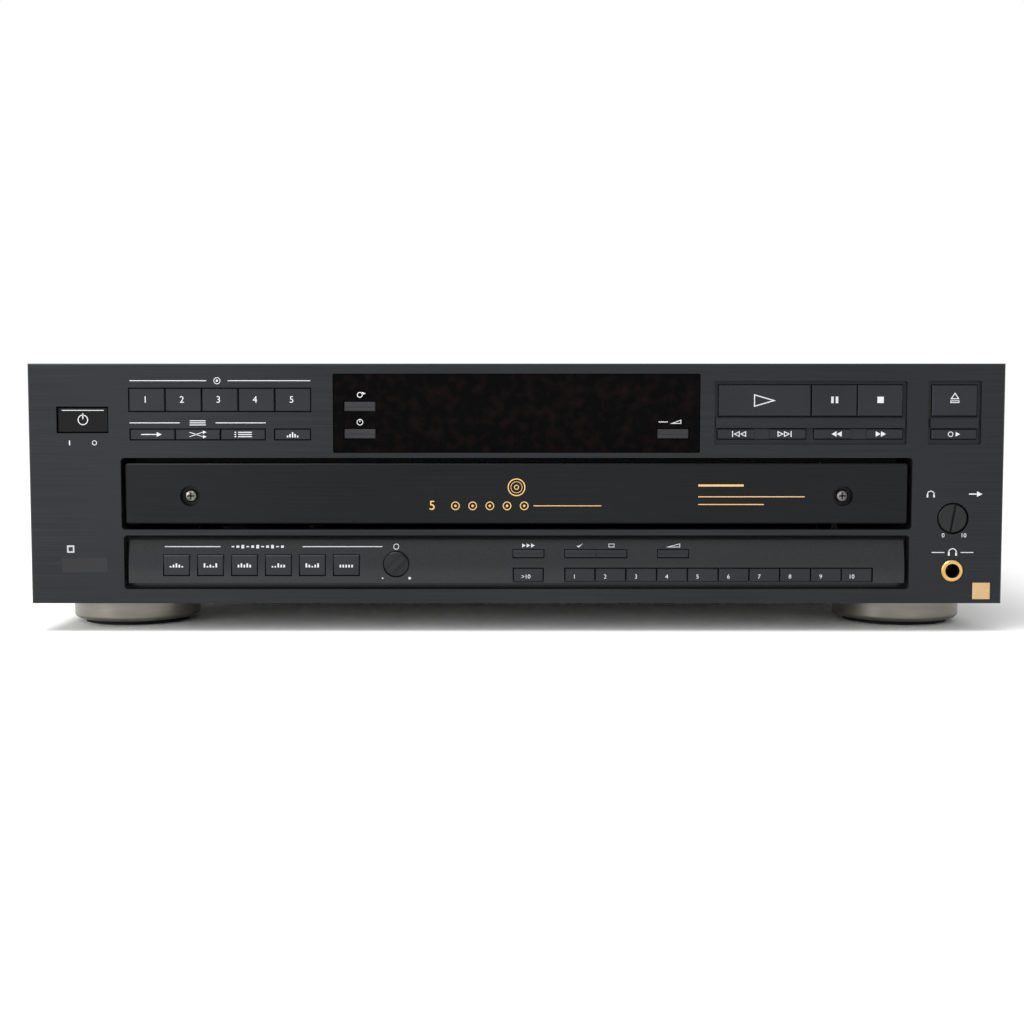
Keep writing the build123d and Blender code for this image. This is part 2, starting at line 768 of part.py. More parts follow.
for i in range(sound_count):
    with BuildPart() as sound_key:
        key_block((sound_at[0] + i * sound_pitch, sound_at[1]), sound_cap, strip_face, strip_back)
    finish(sound_key, f"sound_field_key_{i + 1}")

for name, at in (("music_scan_key", scan_at), ("fader_key", fader_at)):
    with BuildPart() as small_key:
        key_block(at, small_key_cap, low_face, strip_back, ridge=True)
    finish(small_key, name)

with BuildPart() as check_clear_rocker:
    key_block(
        check_at, check_cap, low_face, strip_back,
        lip_width=check_lip, stems=(-check_stem, check_stem), ridge=True,
    )
    with BuildSketch(front(low_face + key_edge)):
        with Locations(check_at):
            Rectangle(check_split, check_cap[1])
    extrude(amount=key_edge + ridge_proud, mode=Mode.SUBTRACT)
finish(check_clear_rocker, "check_clear_rocker")

# the number keys are one moulded comb: caps on a common rail behind the strip
number_face = front_y + 0.75
number_rail = strip_back + wall_gap + lip_thickness
number_places = [ten_x] + [number_first + i * number_pitch for i in range(number_count)]
with BuildPart() as track_number_keys:
    with BuildSketch(front(fascia_back - key_travel - wall_gap)):
        for x in number_places:
            with Locations((x, number_z)):
                Rectangle(*number_cap)
    caps = extrude(amount=fascia_back - key_travel - wall_gap - number_face)
    chamfer(caps.faces().filter_by(Axis.Y).group_by(Axis.Y)[0].edges(), key_edge)
    with BuildSketch(front(number_rail)):
        for x in number_places:
            with Locations((x, number_z)):
                Rectangle(number_cap[0], stem_height)
    extrude(amount=number_rail - fascia_back + key_travel + wall_gap)
    with BuildSketch(front(number_rail)):
        with Locations(((number_places[0] + number_places[-1]) / 2, number_z)):
            Rectangle(number_places[-1] - number_places[0] + number_cap[0], stem_height + 2 * key_lip)
    extrude(amount=lip_thickness)
    with BuildSketch(front(key_back)):
        for x in number_places:
            with Locations((x, number_z)):
                Rectangle(*stem)
    extrude(amount=key_back - number_rail)
finish(track_number_keys, "track_number_keys")

knob_face = fascia_face
knob_edge = 0.4
knob_depth = 4.4
knob_shaft = 3.0
knob_shaft_end = board_y - control_body_depth - wall_gap
grip_proud = 1.6
grip_angle = 45.0
grip_width = 2.6
grip_inset = 0.5  # of its ends, from the knob's rim
groove_width = 1.0
groove_cut = 1.2
groove_angle = 80.0


def knob_block(at, radius):
    """A round knob on its shaft."""
    with BuildSketch(front(knob_shaft_end)) as shaft:
        with Locations(at):
            Circle(knob_shaft)
    extrude(shaft.sketch, amount=knob_shaft_end - knob_face - knob_depth)
    with BuildSketch(front(knob_face + knob_depth)) as head:
        with Locations(at):
            Circle(radius)
    cap = extrude(head.sketch, amount=knob_depth)
    chamfer(cap.faces().sort_by(Axis.Y)[0].edges(), knob_edge)


with BuildPart() as level_knob:
    knob_block(level_at, level_radius)
    with BuildSketch(front(knob_face + groove_cut)):
        with Locations(level_at):
            Rectangle(2 * level_radius, groove_width, rotation=groove_angle)
    extrude(amount=groove_cut, mode=Mode.SUBTRACT)
finish(level_knob, "level_knob")

with BuildPart() as effect_knob:
    knob_block(effect_at, effect_radius)
    with BuildSketch(front(knob_face)):
        with Locations(effect_at):
            SlotOverall(2 * (effect_radius - grip_inset), grip_width, rotation=grip_angle)
    extrude(amount=grip_proud)
finish(effect_knob, "effect_knob")

# ---------------------------------------------------------------- drawer front
counterbore = 4.5
counterbore_depth = 3.0
screw_hole = 1.7
drawer_screw_inset = 28.6  # from the end of the drawer front
drawer_screw_x = drawer_front_width / 2 - drawer_screw_inset
drawer_screw_z = 60.7
drawer_corner = 1.0
drawer_edge = 0.5
with BuildPart() as drawer_front:
    with BuildSketch(front(drawer_wall_front)):
        with Locations((0, (drawer_front_low + drawer_front_high) / 2)):
            RectangleRounded(drawer_front_width, drawer_front_high - drawer_front_low, drawer_corner)
    extrude(amount=drawer_front_thickness)
    chamfer(drawer_front.faces().sort_by(Axis.Y)[0].edges(), drawer_edge)
    with Locations(front(front_y)):
        with Locations((-drawer_screw_x, drawer_screw_z, 0), (drawer_screw_x, drawer_screw_z, 0)):
            CounterBoreHole(screw_hole, counterbore, counterbore_depth, depth=drawer_front_thickness)
finish(drawer_front, "drawer_front")

# ---------------------------------------------------------------- drawer tray
tray_wall = 2.4
bay_wall = 2.4
tray_back = table_y + bay_radius + tray_wall
tray_front_height = 72.0
tray_front_inset = 1.0
floor_top = tray_bottom + tray_floor
deck = 2.0
deck_under = tray_rim - deck
runner_low = 53.0
runner_high = 56.0
runner_out = opening_width / 2 - 0.4
runner_root = 0.5  # how deep the runner is rooted in the tray's side
pickup_window = 50.0
slot_half = 28.0
slot_long = 75.0
slot_front = play_y - slot_long
hub_post = 12.0
hub_play = 0.15
hub_recess = (5.0, 1.5)  # radius and depth, for the head of the hub's screw
table_top = 59.6
pinion_angle = radians(-45.0)
table_pitch_radius = gear_module * table_teeth / 2
pinion_pitch_radius = gear_module * table_pinion_teeth / 2
pinion_reach = table_pitch_radius + pinion_pitch_radius
pinion_x = pinion_reach * cos(pinion_angle)
pinion_y = table_y + pinion_reach * sin(pinion_angle)
gear_lift = 0.5  # table gear above the bay's floor
gear_low = floor_top + gear_lift
gear_high = gear_low + table_gear_height
pinion_way = 3.5  # room round the pinion where it passes through the bay's wall
pinion_way_top = 0.6
rack_low = 46.3
rack_backing = 5.275
rack_lead = 10.0  # rack in front of the loading gear's axle while the drawer is shut
rack_end = 3.0
rack_sunk = 1.0
loading_radius = rack_module * loading_teeth / 2
loading_x = rack_x + loading_radius
rack_pitch = pi * rack_module
rack_count = 1 + round((drawer_travel + 2 * rack_lead) / rack_pitch)
rib_thickness = 1.6
tray_rib_front = table_y - 105.0
tray_rib_back = table_y + 120.0

# teeth, as shares of the module
tooth_play = 0.13  # backlash on each flank
addendum = 0.8
dedendum = 1.15
tooth_root = 0.3  # how deep a tooth is rooted in its wheel
flank_slant = tan(radians(20.0))


def tooth(module, pitch_radius):
    """Corners of one gear tooth on a gear about the origin, pointing along +X."""
    root = pitch_radius - dedendum * module
    tip = pitch_radius + addendum * module
    foot = root - tooth_root * module
    half = pi * module / 4 - tooth_play * module
    low = half + dedendum * module * flank_slant
    high = half - addendum * module * flank_slant
    return [(foot, -low), (root, -low), (tip, -high), (tip, high), (root, low), (foot, low)]


def gear(x, y, z0, z1, module, teeth, inner, turn=0.0):
    """A spur gear with an open middle, joined to the part that is being built."""
    pitch_radius = module * teeth / 2
    with BuildSketch(level(z0)) as outline:
        with Locations((x, y)):
            Circle(pitch_radius - dedendum * module)
            with PolarLocations(0, teeth, start_angle=turn):
                Polygon(*tooth(module, pitch_radius), align=None)
            if inner:
                Circle(inner, mode=Mode.SUBTRACT)
    extrude(outline.sketch, amount=z1 - z0)


with BuildPart() as drawer_tray:
    bar(-tray_half_width, tray_half_width, drawer_wall_front, tray_back, tray_bottom, tray_rim)
    post(0, table_y, floor_top, tray_rim, bay_radius, mode=Mode.SUBTRACT)
    # the corners round the bay are open underneath
    with BuildSketch(level(tray_bottom)):
        with Locations((0, (drawer_wall_front + tray_back) / 2)):
            Rectangle(2 * (tray_half_width - tray_wall), tray_back - drawer_wall_front - 2 * tray_wall)
        with Locations((0, table_y)):
            Circle(bay_radius + bay_wall, mode=Mode.SUBTRACT)
    extrude(amount=deck_under - tray_bottom, mode=Mode.SUBTRACT)
    # the bay wall is open where the pinion reaches the table's gear
    way_top = gear_high + pinion_way_top
    post(pinion_x, pinion_y, floor_top, way_top, pinion_pitch_radius + pinion_way, mode=Mode.SUBTRACT)
    # front wall that carries the drawer front
    bar(
        -tray_half_width + tray_front_inset, tray_half_width - tray_front_inset,
        drawer_wall_front, drawer_wall_front + tray_front_wall, tray_rim, tray_front_height,
    )
    # ribs under the deck, from the tray's sides to the wall of the bay
    for y in (tray_rib_front, tray_rib_back):
        bay_x = sqrt((bay_radius + bay_wall / 2) ** 2 - (y - table_y) ** 2)
        for side in (-1, 1):
            x0, x1 = sorted((side * bay_x, side * (tray_half_width - tray_wall / 2)))
            bar(x0, x1, y - rib_thickness / 2, y + rib_thickness / 2, tray_bottom, deck_under)
    for side in (-1, 1):
        x0, x1 = sorted((side * (tray_half_width - runner_root), side * runner_out))
        bar(x0, x1, drawer_wall_front, tray_back, runner_low, runner_high)
    # way up for the pick-up, from the middle of the disc towards the middle of the table
    post(0, play_y, tray_bottom, floor_top, pickup_window, mode=Mode.SUBTRACT)
    bar(-slot_half, slot_half, slot_front, play_y, tray_bottom, floor_top, mode=Mode.SUBTRACT)
    post(0, table_y, floor_top, table_top, hub_post)
    post(0, table_y, table_top - hub_recess[1], table_top, hub_recess[0], mode=Mode.SUBTRACT)
    # rack along the underside
    rack_first = loading_y - (round(rack_lead / rack_pitch) - 0.5) * rack_pitch
    rack_last = rack_first + (rack_count - 1) * rack_pitch
    rack_root = rack_x - dedendum * rack_module
    bar(
        rack_root - rack_backing, rack_root, rack_first - rack_end, rack_last + rack_end,
        rack_low, tray_bottom + rack_sunk,
    )
    with BuildSketch(level(rack_low)):
        for i in range(rack_count):
            with Locations((rack_x, rack_first + i * rack_pitch)):
                Polygon(*tooth(rack_module, 0.0), align=None)
    extrude(amount=tray_bottom - rack_low)
finish(drawer_tray, "drawer_tray")

# ---------------------------------------------------------------- carousel table
well_radius = disc_diameter / 2 + well_play / 2
slot_width = 44.0
slot_length = 64.0
slot_circle = 64.0  # radius of the circle through the slots' middles
finger_radius = 23.0  # of the hollows between the wells, where a disc is gripped by its edge
finger_circle = 138.0
hub_wall = 3.5
ring_width = 6.0  # radial width of the table's gear ring
ring_wall = 3.4
table_low = table_top - table_thickness
table_edge = 0.4
with BuildPart() as carousel_table:
    post(0, table_y, table_low, table_top, table_radius)
    with BuildSketch(level(table_top - well_depth)):
        with Locations((0, table_y)):
            with PolarLocations(well_circle, well_count, start_angle=90):
                Circle(well_radius)
            with PolarLocations(finger_circle, well_count, start_angle=90 + 180 / well_count):
                Circle(finger_radius)
    extrude(amount=well_depth, mode=Mode.SUBTRACT)
    with BuildSketch(level(table_low)):
        with Locations((0, table_y)):
            with PolarLocations(well_circle, well_count, start_angle=90):
                Circle(window_radius)
            with PolarLocations(slot_circle, well_count, start_angle=90):
                SlotOverall(slot_length, slot_width)
    extrude(amount=table_thickness, mode=Mode.SUBTRACT)
    chamfer(carousel_table.faces().sort_by(Axis.Z)[-1].edges(), table_edge)
    gear(0, table_y, gear_low, gear_high, gear_module, table_teeth, table_pitch_radius - ring_width)
    with BuildSketch(level(gear_high)):
        with Locations((0, table_y)):
            Circle(table_pitch_radius - ring_width + ring_wall)
            Circle(table_pitch_radius - ring_width, mode=Mode.SUBTRACT)
    extrude(amount=table_low - gear_high)
    with BuildSketch(level(floor_top + wall_gap)):
        with Locations((0, table_y)):
            Circle(hub_post + hub_play + hub_wall)
    extrude(amount=table_top - floor_top - wall_gap)
    post(0, table_y, floor_top, table_top, hub_post + hub_play, mode=Mode.SUBTRACT)
finish(carousel_table, "carousel_table")

# ---------------------------------------------------------------- table drive
motor_radius = 10.0
motor_height = 5.0
motor_shaft = 1.5
shaft_play = 0.05
with BuildPart() as table_motor:
    post(pinion_x, pinion_y, deck_under - motor_height, deck_under, motor_radius)
    post(pinion_x, pinion_y, gear_low, deck_under - motor_height, motor_shaft)
finish(table_motor, "table_motor")

# the pinion has a gap between teeth where the table's tooth points at it
table_tooth_step = 360.0 / table_teeth
pinion_step = 360.0 / table_pinion_teeth
mesh_angle = degrees(pinion_angle)
table_phase = (mesh_angle / table_tooth_step) % 1.0
pinion_turn = mesh_angle + 180.0 + (table_phase + 0.5) * pinion_step
with BuildPart() as table_pinion:
    gear(
        pinion_x, pinion_y, gear_low, gear_high, gear_module, table_pinion_teeth,
        motor_shaft + shaft_play, turn=pinion_turn,
    )
finish(table_pinion, "table_pinion")

# ---------------------------------------------------------------- mechanism frame
rail_outer = tray_half_width + 7.0
rail_plate = 4.0
rail_front = front_y + 24.5
rail_back = play_y + 18.0
rail_under = 46.0
rail_top = 62.0
rail_step = 0.5  # the guides end this much below the side plates
rail_inner = rail_outer - rail_plate
rail_window = (38.0, 16.0)
rail_window_z = 30.0
rail_window_pitch = 56.0
rail_middle = (rail_front + rail_back) / 2 + 4.0  # middle window
shelf_low = 36.0
shelf_top = 39.0
shelf_right = -78.0
shelf_back = loading_y + 22.0
web = 3.0
bay_back = play_y + 42.0
bay_half = 61.0
wall_top = 47.0  # where the lifting cam runs, and lower elsewhere
wall_low_top = 43.0
guide_x = 42.0
guide_y = play_y + 24.0
guide_radius = 2.0
guide_foot = (8.0, 2.0)
lift_pin_x = 30.0
lift_pin_z = 27.0
lift_pin = 1.5
lift_slot_play = 0.3
pin_end_play = 0.2
cam_thickness = 2.8
cam_back = bay_front - wall_gap
cam_front = cam_back - cam_thickness
cam_low = pan_top + 4.0
cam_high = 46.0
cam_left = -76.0
cam_right = 36.0
cam_travel = lift / lift_slope
cam_ledge_end = 2.0
cam_ledge_front = 1.0
cam_wall_end = 8.0
motor_x = -95.0
motor_hole = 5.0
axle_radius = 2.0
axle_top = tray_bottom - 0.6
pulley_low = 40.0
pulley_high = 44.8
with BuildPart() as mechanism_frame:
    for side in (-1, 1):
        x0, x1 = sorted((side * rail_inner, side * rail_outer))
        bar(x0, x1, rail_front, rail_back, pan_top, rail_top)
        x0, x1 = sorted((side * (tray_half_width + wall_gap), side * rail_inner))
        bar(x0, x1, rail_front, rail_back, rail_under, rail_top - rail_step)
        x0, x1 = sorted((side * tray_half_width, side * (runner_out + wall_gap)))
        bar(
            x0, x1, rail_front, rail_back, runner_low - wall_gap, runner_high + wall_gap,
            mode=Mode.SUBTRACT,
        )
    # the side plates are lightened by round-ended windows
    with BuildSketch(Plane.YZ.offset(-rail_outer)):
        with Locations((rail_middle, rail_window_z)):
            with GridLocations(rail_window_pitch, 0, 5, 1):
                SlotOverall(*rail_window)
    extrude(amount=2 * rail_outer, mode=Mode.SUBTRACT)
    bar(-rail_inner, rail_inner, rail_front, rail_front + web, pan_top, shelf_top)
    bar(-rail_inner, shelf_right, rail_front, shelf_back, shelf_low, shelf_top)
    bar(-rail_inner, rail_inner, bay_front, bay_front + web, pan_top, wall_low_top)
    wall_left = cam_left - cam_wall_end
    wall_right = cam_right + cam_travel + cam_wall_end
    bar(wall_left, wall_right, bay_front, bay_front + web, pan_top, wall_top)
    for side in (-1, 1):
        x0, x1 = sorted((side * (bay_half - web), side * bay_half))
        bar(x0, x1, bay_front, bay_back, pan_top, wall_low_top)
    bar(-bay_half, bay_half, bay_back - web, bay_back, pan_top, wall_low_top)
    bar(-bay_half, bay_half, guide_y - guide_foot[0], bay_back, pan_top, pan_top + guide_foot[1])
    for side in (-1, 1):
        post(side * guide_x, guide_y, pan_top, wall_top, guide_radius)
    # ledge that the lifting cam slides on
    bar(
        cam_left - cam_ledge_end, cam_right + cam_travel + cam_ledge_end,
        cam_front - cam_ledge_front, bay_front,
        pan_top, cam_low - wall_gap,
    )
    slot_wide = 2 * (lift_pin + lift_slot_play)
    with BuildSketch(front(bay_front + web)):
        for x in (-lift_pin_x, lift_pin_x):
            with Locations((x, lift_pin_z + lift / 2)):
                SlotOverall(lift + slot_wide + 2 * pin_end_play, slot_wide, rotation=90)
    extrude(amount=web, mode=Mode.SUBTRACT)
    post(loading_x, loading_y, shelf_top, axle_top, axle_radius)
    post(motor_x, loading_y, shelf_low, shelf_top, motor_hole, mode=Mode.SUBTRACT)
finish(mechanism_frame, "mechanism_frame")

# ---------------------------------------------------------------- drawer drive
groove_low = 41.2
groove_high = 43.6
big_groove = 12.0
small_groove = 4.2
groove_rim = 1.0
belt_thickness = 1.4
belt_play = 0.1
belt_margin = 0.2
shaft_radius = 1.0
drive_play = 0.08  # the loading gear on its axle
gear_base = rack_low + 0.2
can_low = 17.0
can_radius = 12.0
can_edge = 1.0
gear_neck = 8.0
gear_foot = 5.0


def grooved_pulley(x, bottom):
    """A flat-bottomed belt pulley on the loading drive's line."""
    post(x, loading_y, pulley_low, pulley_high, bottom + groove_rim)
    with BuildSketch(level(groove_low)) as groove:
        with Locations((x, loading_y)):
            Circle(bottom + groove_rim)
            Circle(bottom, mode=Mode.SUBTRACT)
    extrude(groove.sketch, amount=groove_high - groove_low, mode=Mode.SUBTRACT)


with BuildPart() as loading_gear:
    gear(loading_x, loading_y, gear_base, tray_bottom - wall_gap, rack_module, loading_teeth, 0)
    post(loading_x, loading_y, pulley_high, gear_base, gear_neck)
    grooved_pulley(loading_x, big_groove)
    post(loading_x, loading_y, shelf_top + wall_gap, pulley_low, gear_foot)
    post(loading_x, loading_y, shelf_top, tray_bottom, axle_radius + drive_play, mode=Mode.SUBTRACT)
finish(loading_gear, "loading_gear")

with BuildPart() as loading_pulley:
    grooved_pulley(motor_x, small_groove)
    post(motor_x, loading_y, pulley_low, pulley_high, shaft_radius + shaft_play, mode=Mode.SUBTRACT)
finish(loading_pulley, "loading_pulley")

with BuildPart() as loading_motor:
    post(motor_x, loading_y, can_low, shelf_low, can_radius)
    fillet(loading_motor.faces().sort_by(Axis.Z)[0].edges(), can_edge)
    post(motor_x, loading_y, shelf_low, shelf_top - can_edge, motor_hole - can_edge)
    post(motor_x, loading_y, shelf_top - can_edge, pulley_high - can_edge / 2, shaft_radius)
finish(loading_motor, "loading_motor")

with BuildPart() as loading_belt:
    with BuildSketch(level(groove_low + belt_margin)):
        for grow, mode in ((belt_thickness + belt_play, Mode.ADD), (belt_play, Mode.SUBTRACT)):
            with BuildSketch(mode=mode):
                with Locations((loading_x, loading_y)):
                    Circle(big_groove + grow)
                with Locations((motor_x, loading_y)):
                    Circle(small_groove + grow)
                make_hull()
    extrude(amount=groove_high - groove_low - 2 * belt_margin)
finish(loading_belt, "loading_belt")

# ---------------------------------------------------------------- lifting cam
cam_slot_play = 0.5
slope_long = hypot(cam_travel, lift)
slope_angle = degrees(atan2(lift, cam_travel))
with BuildPart() as lift_cam:
    bar(cam_left, cam_right, cam_front, cam_back, cam_low, cam_high)
    with BuildSketch(front(cam_back)):
        for x in (-lift_pin_x, lift_pin_x):
            with Locations((x - cam_travel / 2, lift_pin_z + lift / 2)):
                SlotCenterToCenter(slope_long, 2 * lift_pin + cam_slot_play, rotation=-slope_angle)
    extrude(amount=cam_thickness, mode=Mode.SUBTRACT)
finish(lift_cam, "lift_cam")

# ---------------------------------------------------------------- disc drive
base_back = bay_back - 10.0
base_half = 50.0
base_low = 22.0
base_top = 31.0
skin = 3.0
well_half = 14.0  # opening in the base under the sled
rod_x = 20.0
rod_z = 34.5
rod_radius = 1.5
rod_play = 0.1
lug_half = 3.5
lug_top = 37.0
guide_boss = 6.5
guide_play = 0.1
base_window_margin = (8.0, 6.0)  # from its front edge, and from the end of the rods
pin_reach = 0.4  # past the cam
sled_half = 24.0
sled_low = 31.8
sled_top = 37.5
lens_ring = (5.5, 43.0)  # radius and top
lens = (3.2, 44.4)
lens_edge = 0.5
spindle_motor_radius = 11.0
spindle_motor_top = 41.0
rod_back = play_y - spindle_motor_radius
with BuildPart() as pickup_base:
    bar(-base_half, base_half, base_front, base_back, base_low, base_top)
    bar(
        -base_half + skin, base_half - skin, base_front + skin, base_back - skin,
        base_low, base_top - skin, mode=Mode.SUBTRACT,
    )
    window_front = base_front + base_window_margin[0]
    window_back = rod_back - base_window_margin[1]
    bar(-well_half, well_half, window_front, window_back, base_low, base_top, mode=Mode.SUBTRACT)
    for side in (-1, 1):
        post(side * guide_x, guide_y, base_low, base_top, guide_boss)
        post(side * guide_x, guide_y, base_low, base_top, guide_radius + guide_play, mode=Mode.SUBTRACT)
        with BuildSketch(front(base_front)):
            with Locations((side * lift_pin_x, lift_pin_z)):
                Circle(lift_pin)
        extrude(amount=base_front - cam_front + pin_reach)
finish(pickup_base, "pickup_base")

# the spindle motor and the two rods of the sled stand on the base
with BuildPart() as spindle_motor_and_rods:
    for side in (-1, 1):
        x = side * rod_x
        for y in (base_front, rod_back - lug):
            bar(x - lug_half, x + lug_half, y, y + lug, base_top, lug_top)
        with BuildSketch(front(rod_back)):
            with Locations((x, rod_z)):
                Circle(rod_radius)
        extrude(amount=rod_back - base_front)
    post(0, play_y, base_top, spindle_motor_top, spindle_motor_radius)
finish(spindle_motor_and_rods, "spindle_motor_and_rods")

with BuildPart() as pickup_sled:
    bar(-sled_half, sled_half, lens_y - sled_length / 2, lens_y + sled_length / 2, sled_low, sled_top)
    with BuildSketch(front(lens_y + sled_length / 2)):
        for x in (-rod_x, rod_x):
            with Locations((x, rod_z)):
                Circle(rod_radius + rod_play)
    extrude(amount=sled_length, mode=Mode.SUBTRACT)
    post(0, lens_y, sled_top, lens_ring[1], lens_ring[0])
    post(0, lens_y, lens_ring[1], lens[1], lens[0])
    chamfer(pickup_sled.faces().sort_by(Axis.Z)[-1].edges(), lens_edge)
finish(pickup_sled, "pickup_sled")

seat_z = 46.2
hub_tip = 48.4
hub_seat = 14.0
hub_cone = 7.4
hub_edge = 1.0
spindle_neck = 4.0
spindle_plate = 3.0
with BuildPart() as disc_spindle:
    post(0, play_y, spindle_motor_top + wall_gap, seat_z - spindle_plate, spindle_neck)
    post(0, play_y, seat_z - spindle_plate, seat_z, hub_seat)
    post(0, play_y, seat_z, hub_tip, hub_cone)
    chamfer(disc_spindle.faces().sort_by(Axis.Z)[-1].edges(), hub_edge)
finish(disc_spindle, "disc_spindle")

# ---------------------------------------------------------------- disc clamp
bridge_low = 67.0
bridge_top = 69.5
bridge_half = 12.0
bridge_ring = 24.0
puck_neck = 12.0
puck_low = 63.4
puck_high = 66.4
puck_radius = 17.0
puck_flange = 3.5
puck_plate = 1.8
puck_hole = hub_cone + 0.8
bridge_rib = (2.0, 4.0)  # thick, tall
bridge_rib_start = 22.0
with BuildPart() as clamp_bridge:
    bar(-rail_outer, rail_outer, play_y - bridge_half, play_y + bridge_half, bridge_low, bridge_top)
    post(0, play_y, bridge_low, bridge_top, bridge_ring)
    for y in (play_y - bridge_half, play_y + bridge_half - bridge_rib[0]):
        for side in (-1, 1):
            x0, x1 = sorted((side * bridge_rib_start, side * rail_outer))
            bar(x0, x1, y, y + bridge_rib[0], bridge_top, bridge_top + bridge_rib[1])
    for side in (-1, 1):
        x0, x1 = sorted((side * rail_inner, side * rail_outer))
        bar(x0, x1, play_y - bridge_half, play_y + bridge_half, rail_top, bridge_low)
    post(0, play_y, bridge_low, bridge_top, puck_neck + wall_gap, mode=Mode.SUBTRACT)
finish(clamp_bridge, "clamp_bridge")

with BuildPart() as clamp_puck:
    flange_low = bridge_top + wall_gap
    post(0, play_y, puck_low, puck_high, puck_radius)
    post(0, play_y, puck_high, flange_low, puck_neck)
    post(0, play_y, flange_low, flange_low + puck_plate, puck_neck + puck_flange)
    post(0, play_y, puck_low, puck_low + puck_plate, puck_hole, mode=Mode.SUBTRACT)
finish(clamp_puck, "clamp_puck")
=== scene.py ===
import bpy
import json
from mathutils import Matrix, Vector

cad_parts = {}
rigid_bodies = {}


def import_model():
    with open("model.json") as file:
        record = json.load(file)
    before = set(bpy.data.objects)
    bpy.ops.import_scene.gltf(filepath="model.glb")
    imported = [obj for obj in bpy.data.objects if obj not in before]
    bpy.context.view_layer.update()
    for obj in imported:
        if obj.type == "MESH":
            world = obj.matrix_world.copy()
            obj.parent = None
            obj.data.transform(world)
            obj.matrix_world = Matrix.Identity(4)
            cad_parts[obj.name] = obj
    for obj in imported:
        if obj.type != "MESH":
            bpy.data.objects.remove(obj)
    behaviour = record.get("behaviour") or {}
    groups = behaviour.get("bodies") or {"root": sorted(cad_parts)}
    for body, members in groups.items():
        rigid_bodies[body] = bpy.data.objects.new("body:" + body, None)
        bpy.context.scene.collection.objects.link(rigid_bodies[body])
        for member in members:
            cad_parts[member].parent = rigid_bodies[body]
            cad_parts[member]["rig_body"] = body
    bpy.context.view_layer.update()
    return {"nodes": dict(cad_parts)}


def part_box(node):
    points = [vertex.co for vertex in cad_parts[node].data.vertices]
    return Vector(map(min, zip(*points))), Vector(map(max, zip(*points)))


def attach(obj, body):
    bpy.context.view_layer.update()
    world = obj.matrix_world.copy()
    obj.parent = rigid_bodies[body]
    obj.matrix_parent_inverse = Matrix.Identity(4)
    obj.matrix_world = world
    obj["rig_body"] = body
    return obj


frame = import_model()

# %% [markdown]
# # A five-disc changer, dressed for its portrait
#
# The object is a full-width hi-fi component: a black brushed aluminium front panel with a wide
# drawer, a curved control strip, a smoked display window, rows of small satin keys and four
# metallic feet. The construction arrives from CAD as separate nodes, each already at its real
# place and size, so this script gives every node a finish, adds what is printed or glued on, and
# lights it. Nothing here moves a CAD node.

# %% Modules and helpers
import json
import math

import bmesh
import bpy
from mathutils import Matrix, Vector
from mathutils.bvhtree import BVHTree

MM = 0.001
nodes = frame["nodes"]
print("nodes to dress:", len(nodes))

# %% [markdown]
# ## Colour and node helpers
#
# Colours are written as sRGB hex, the way a designer reads them off a swatch, but shaders work in
# linear light. One function turns them. A second adds a shader node with its settings and links,
# so that each material below reads as a short list of what it is made of.


# %% Colour and node helpers
def linear(hex_colour):
    """A hex colour as linear red, green, blue and alpha."""
    parts = [int(hex_colour[i : i + 2], 16) / 255 for i in (1, 3, 5)]
    return [p / 12.92 if p <= 0.04045 else ((p + 0.055) / 1.055) ** 2.4 for p in parts] + [1.0]


def add(tree, kind, settings=None, **links):
    """A new shader node, with settings by attribute or socket name and links into its sockets."""
    node = tree.nodes.new(kind)
    for key, value in (settings or {}).items():
        if key in node.inputs:
            node.inputs[key].default_value = value
        elif key.isdigit():
            node.inputs[int(key)].default_value = value
        else:
            setattr(node, key, value)
    for key, source in links.items():
        name = key.replace("_", " ")
        target = node.inputs[int(key[2:])] if key.startswith("at") else node.inputs[name]
        tree.links.new(source, target)
    return node


def start_material(name, roughness, metallic=0.0, ior=1.5, sheen=0.25, **coat):
    """A material with one Principled shader, and the position in the object that patterns follow."""
    material = bpy.data.materials.new(name)
    material.use_nodes = True
    tree = material.node_tree
    shader = tree.nodes["Principled BSDF"]
    shader.inputs["Roughness"].default_value = roughness
    shader.inputs["Metallic"].default_value = metallic
    shader.inputs["IOR"].default_value = ior
    shader.inputs["Specular IOR Level"].default_value = sheen
    for key, value in coat.items():
        shader.inputs[key.replace("_", " ")].default_value = value
    place = add(tree, "ShaderNodeTexCoord").outputs["Object"]
    return material, tree, shader, place


def ramp(tree, source, stops):
    """A colour ramp over a source value, from (position, hex colour) stops."""
    node = add(tree, "ShaderNodeValToRGB", None, Fac=source)
    while len(node.color_ramp.elements) < len(stops):
        node.color_ramp.elements.new(0.5)
    for element, (position, colour) in zip(node.color_ramp.elements, stops):
        element.position = position
        element.color = linear(colour)
    return node.outputs["Color"]


def bump(tree, shader, height, distance_mm, strength):
    """Fine relief on a shader, from a height between 0 and 1 and its real depth."""
    node = add(tree, "ShaderNodeBump", {"Strength": strength, "Distance": distance_mm * MM}, Height=height)
    tree.links.new(node.outputs["Normal"], shader.inputs["Normal"])


def dress(names, material):
    """Gives CAD nodes a finish."""
    for name in names:
        slots = nodes[name].data.materials
        slots.clear()
        slots.append(material)
    print(material.name, "on", len(names), "nodes")


# %% [markdown]
# ## Brushed black aluminium
#
# The front panel and the drawer front are rolled aluminium, brushed from side to side and then
# anodised black. Brushing leaves fine scratches that are long in X and under half a millimetre
# apart in Z. They break the light into faint streaks, which is why the panel reads as dark metal
# and not as paint. A noise that is stretched along X gives both the streaks in the colour and the
# shallow relief. The anodised layer takes the shine down, so the metal stays rather rough.


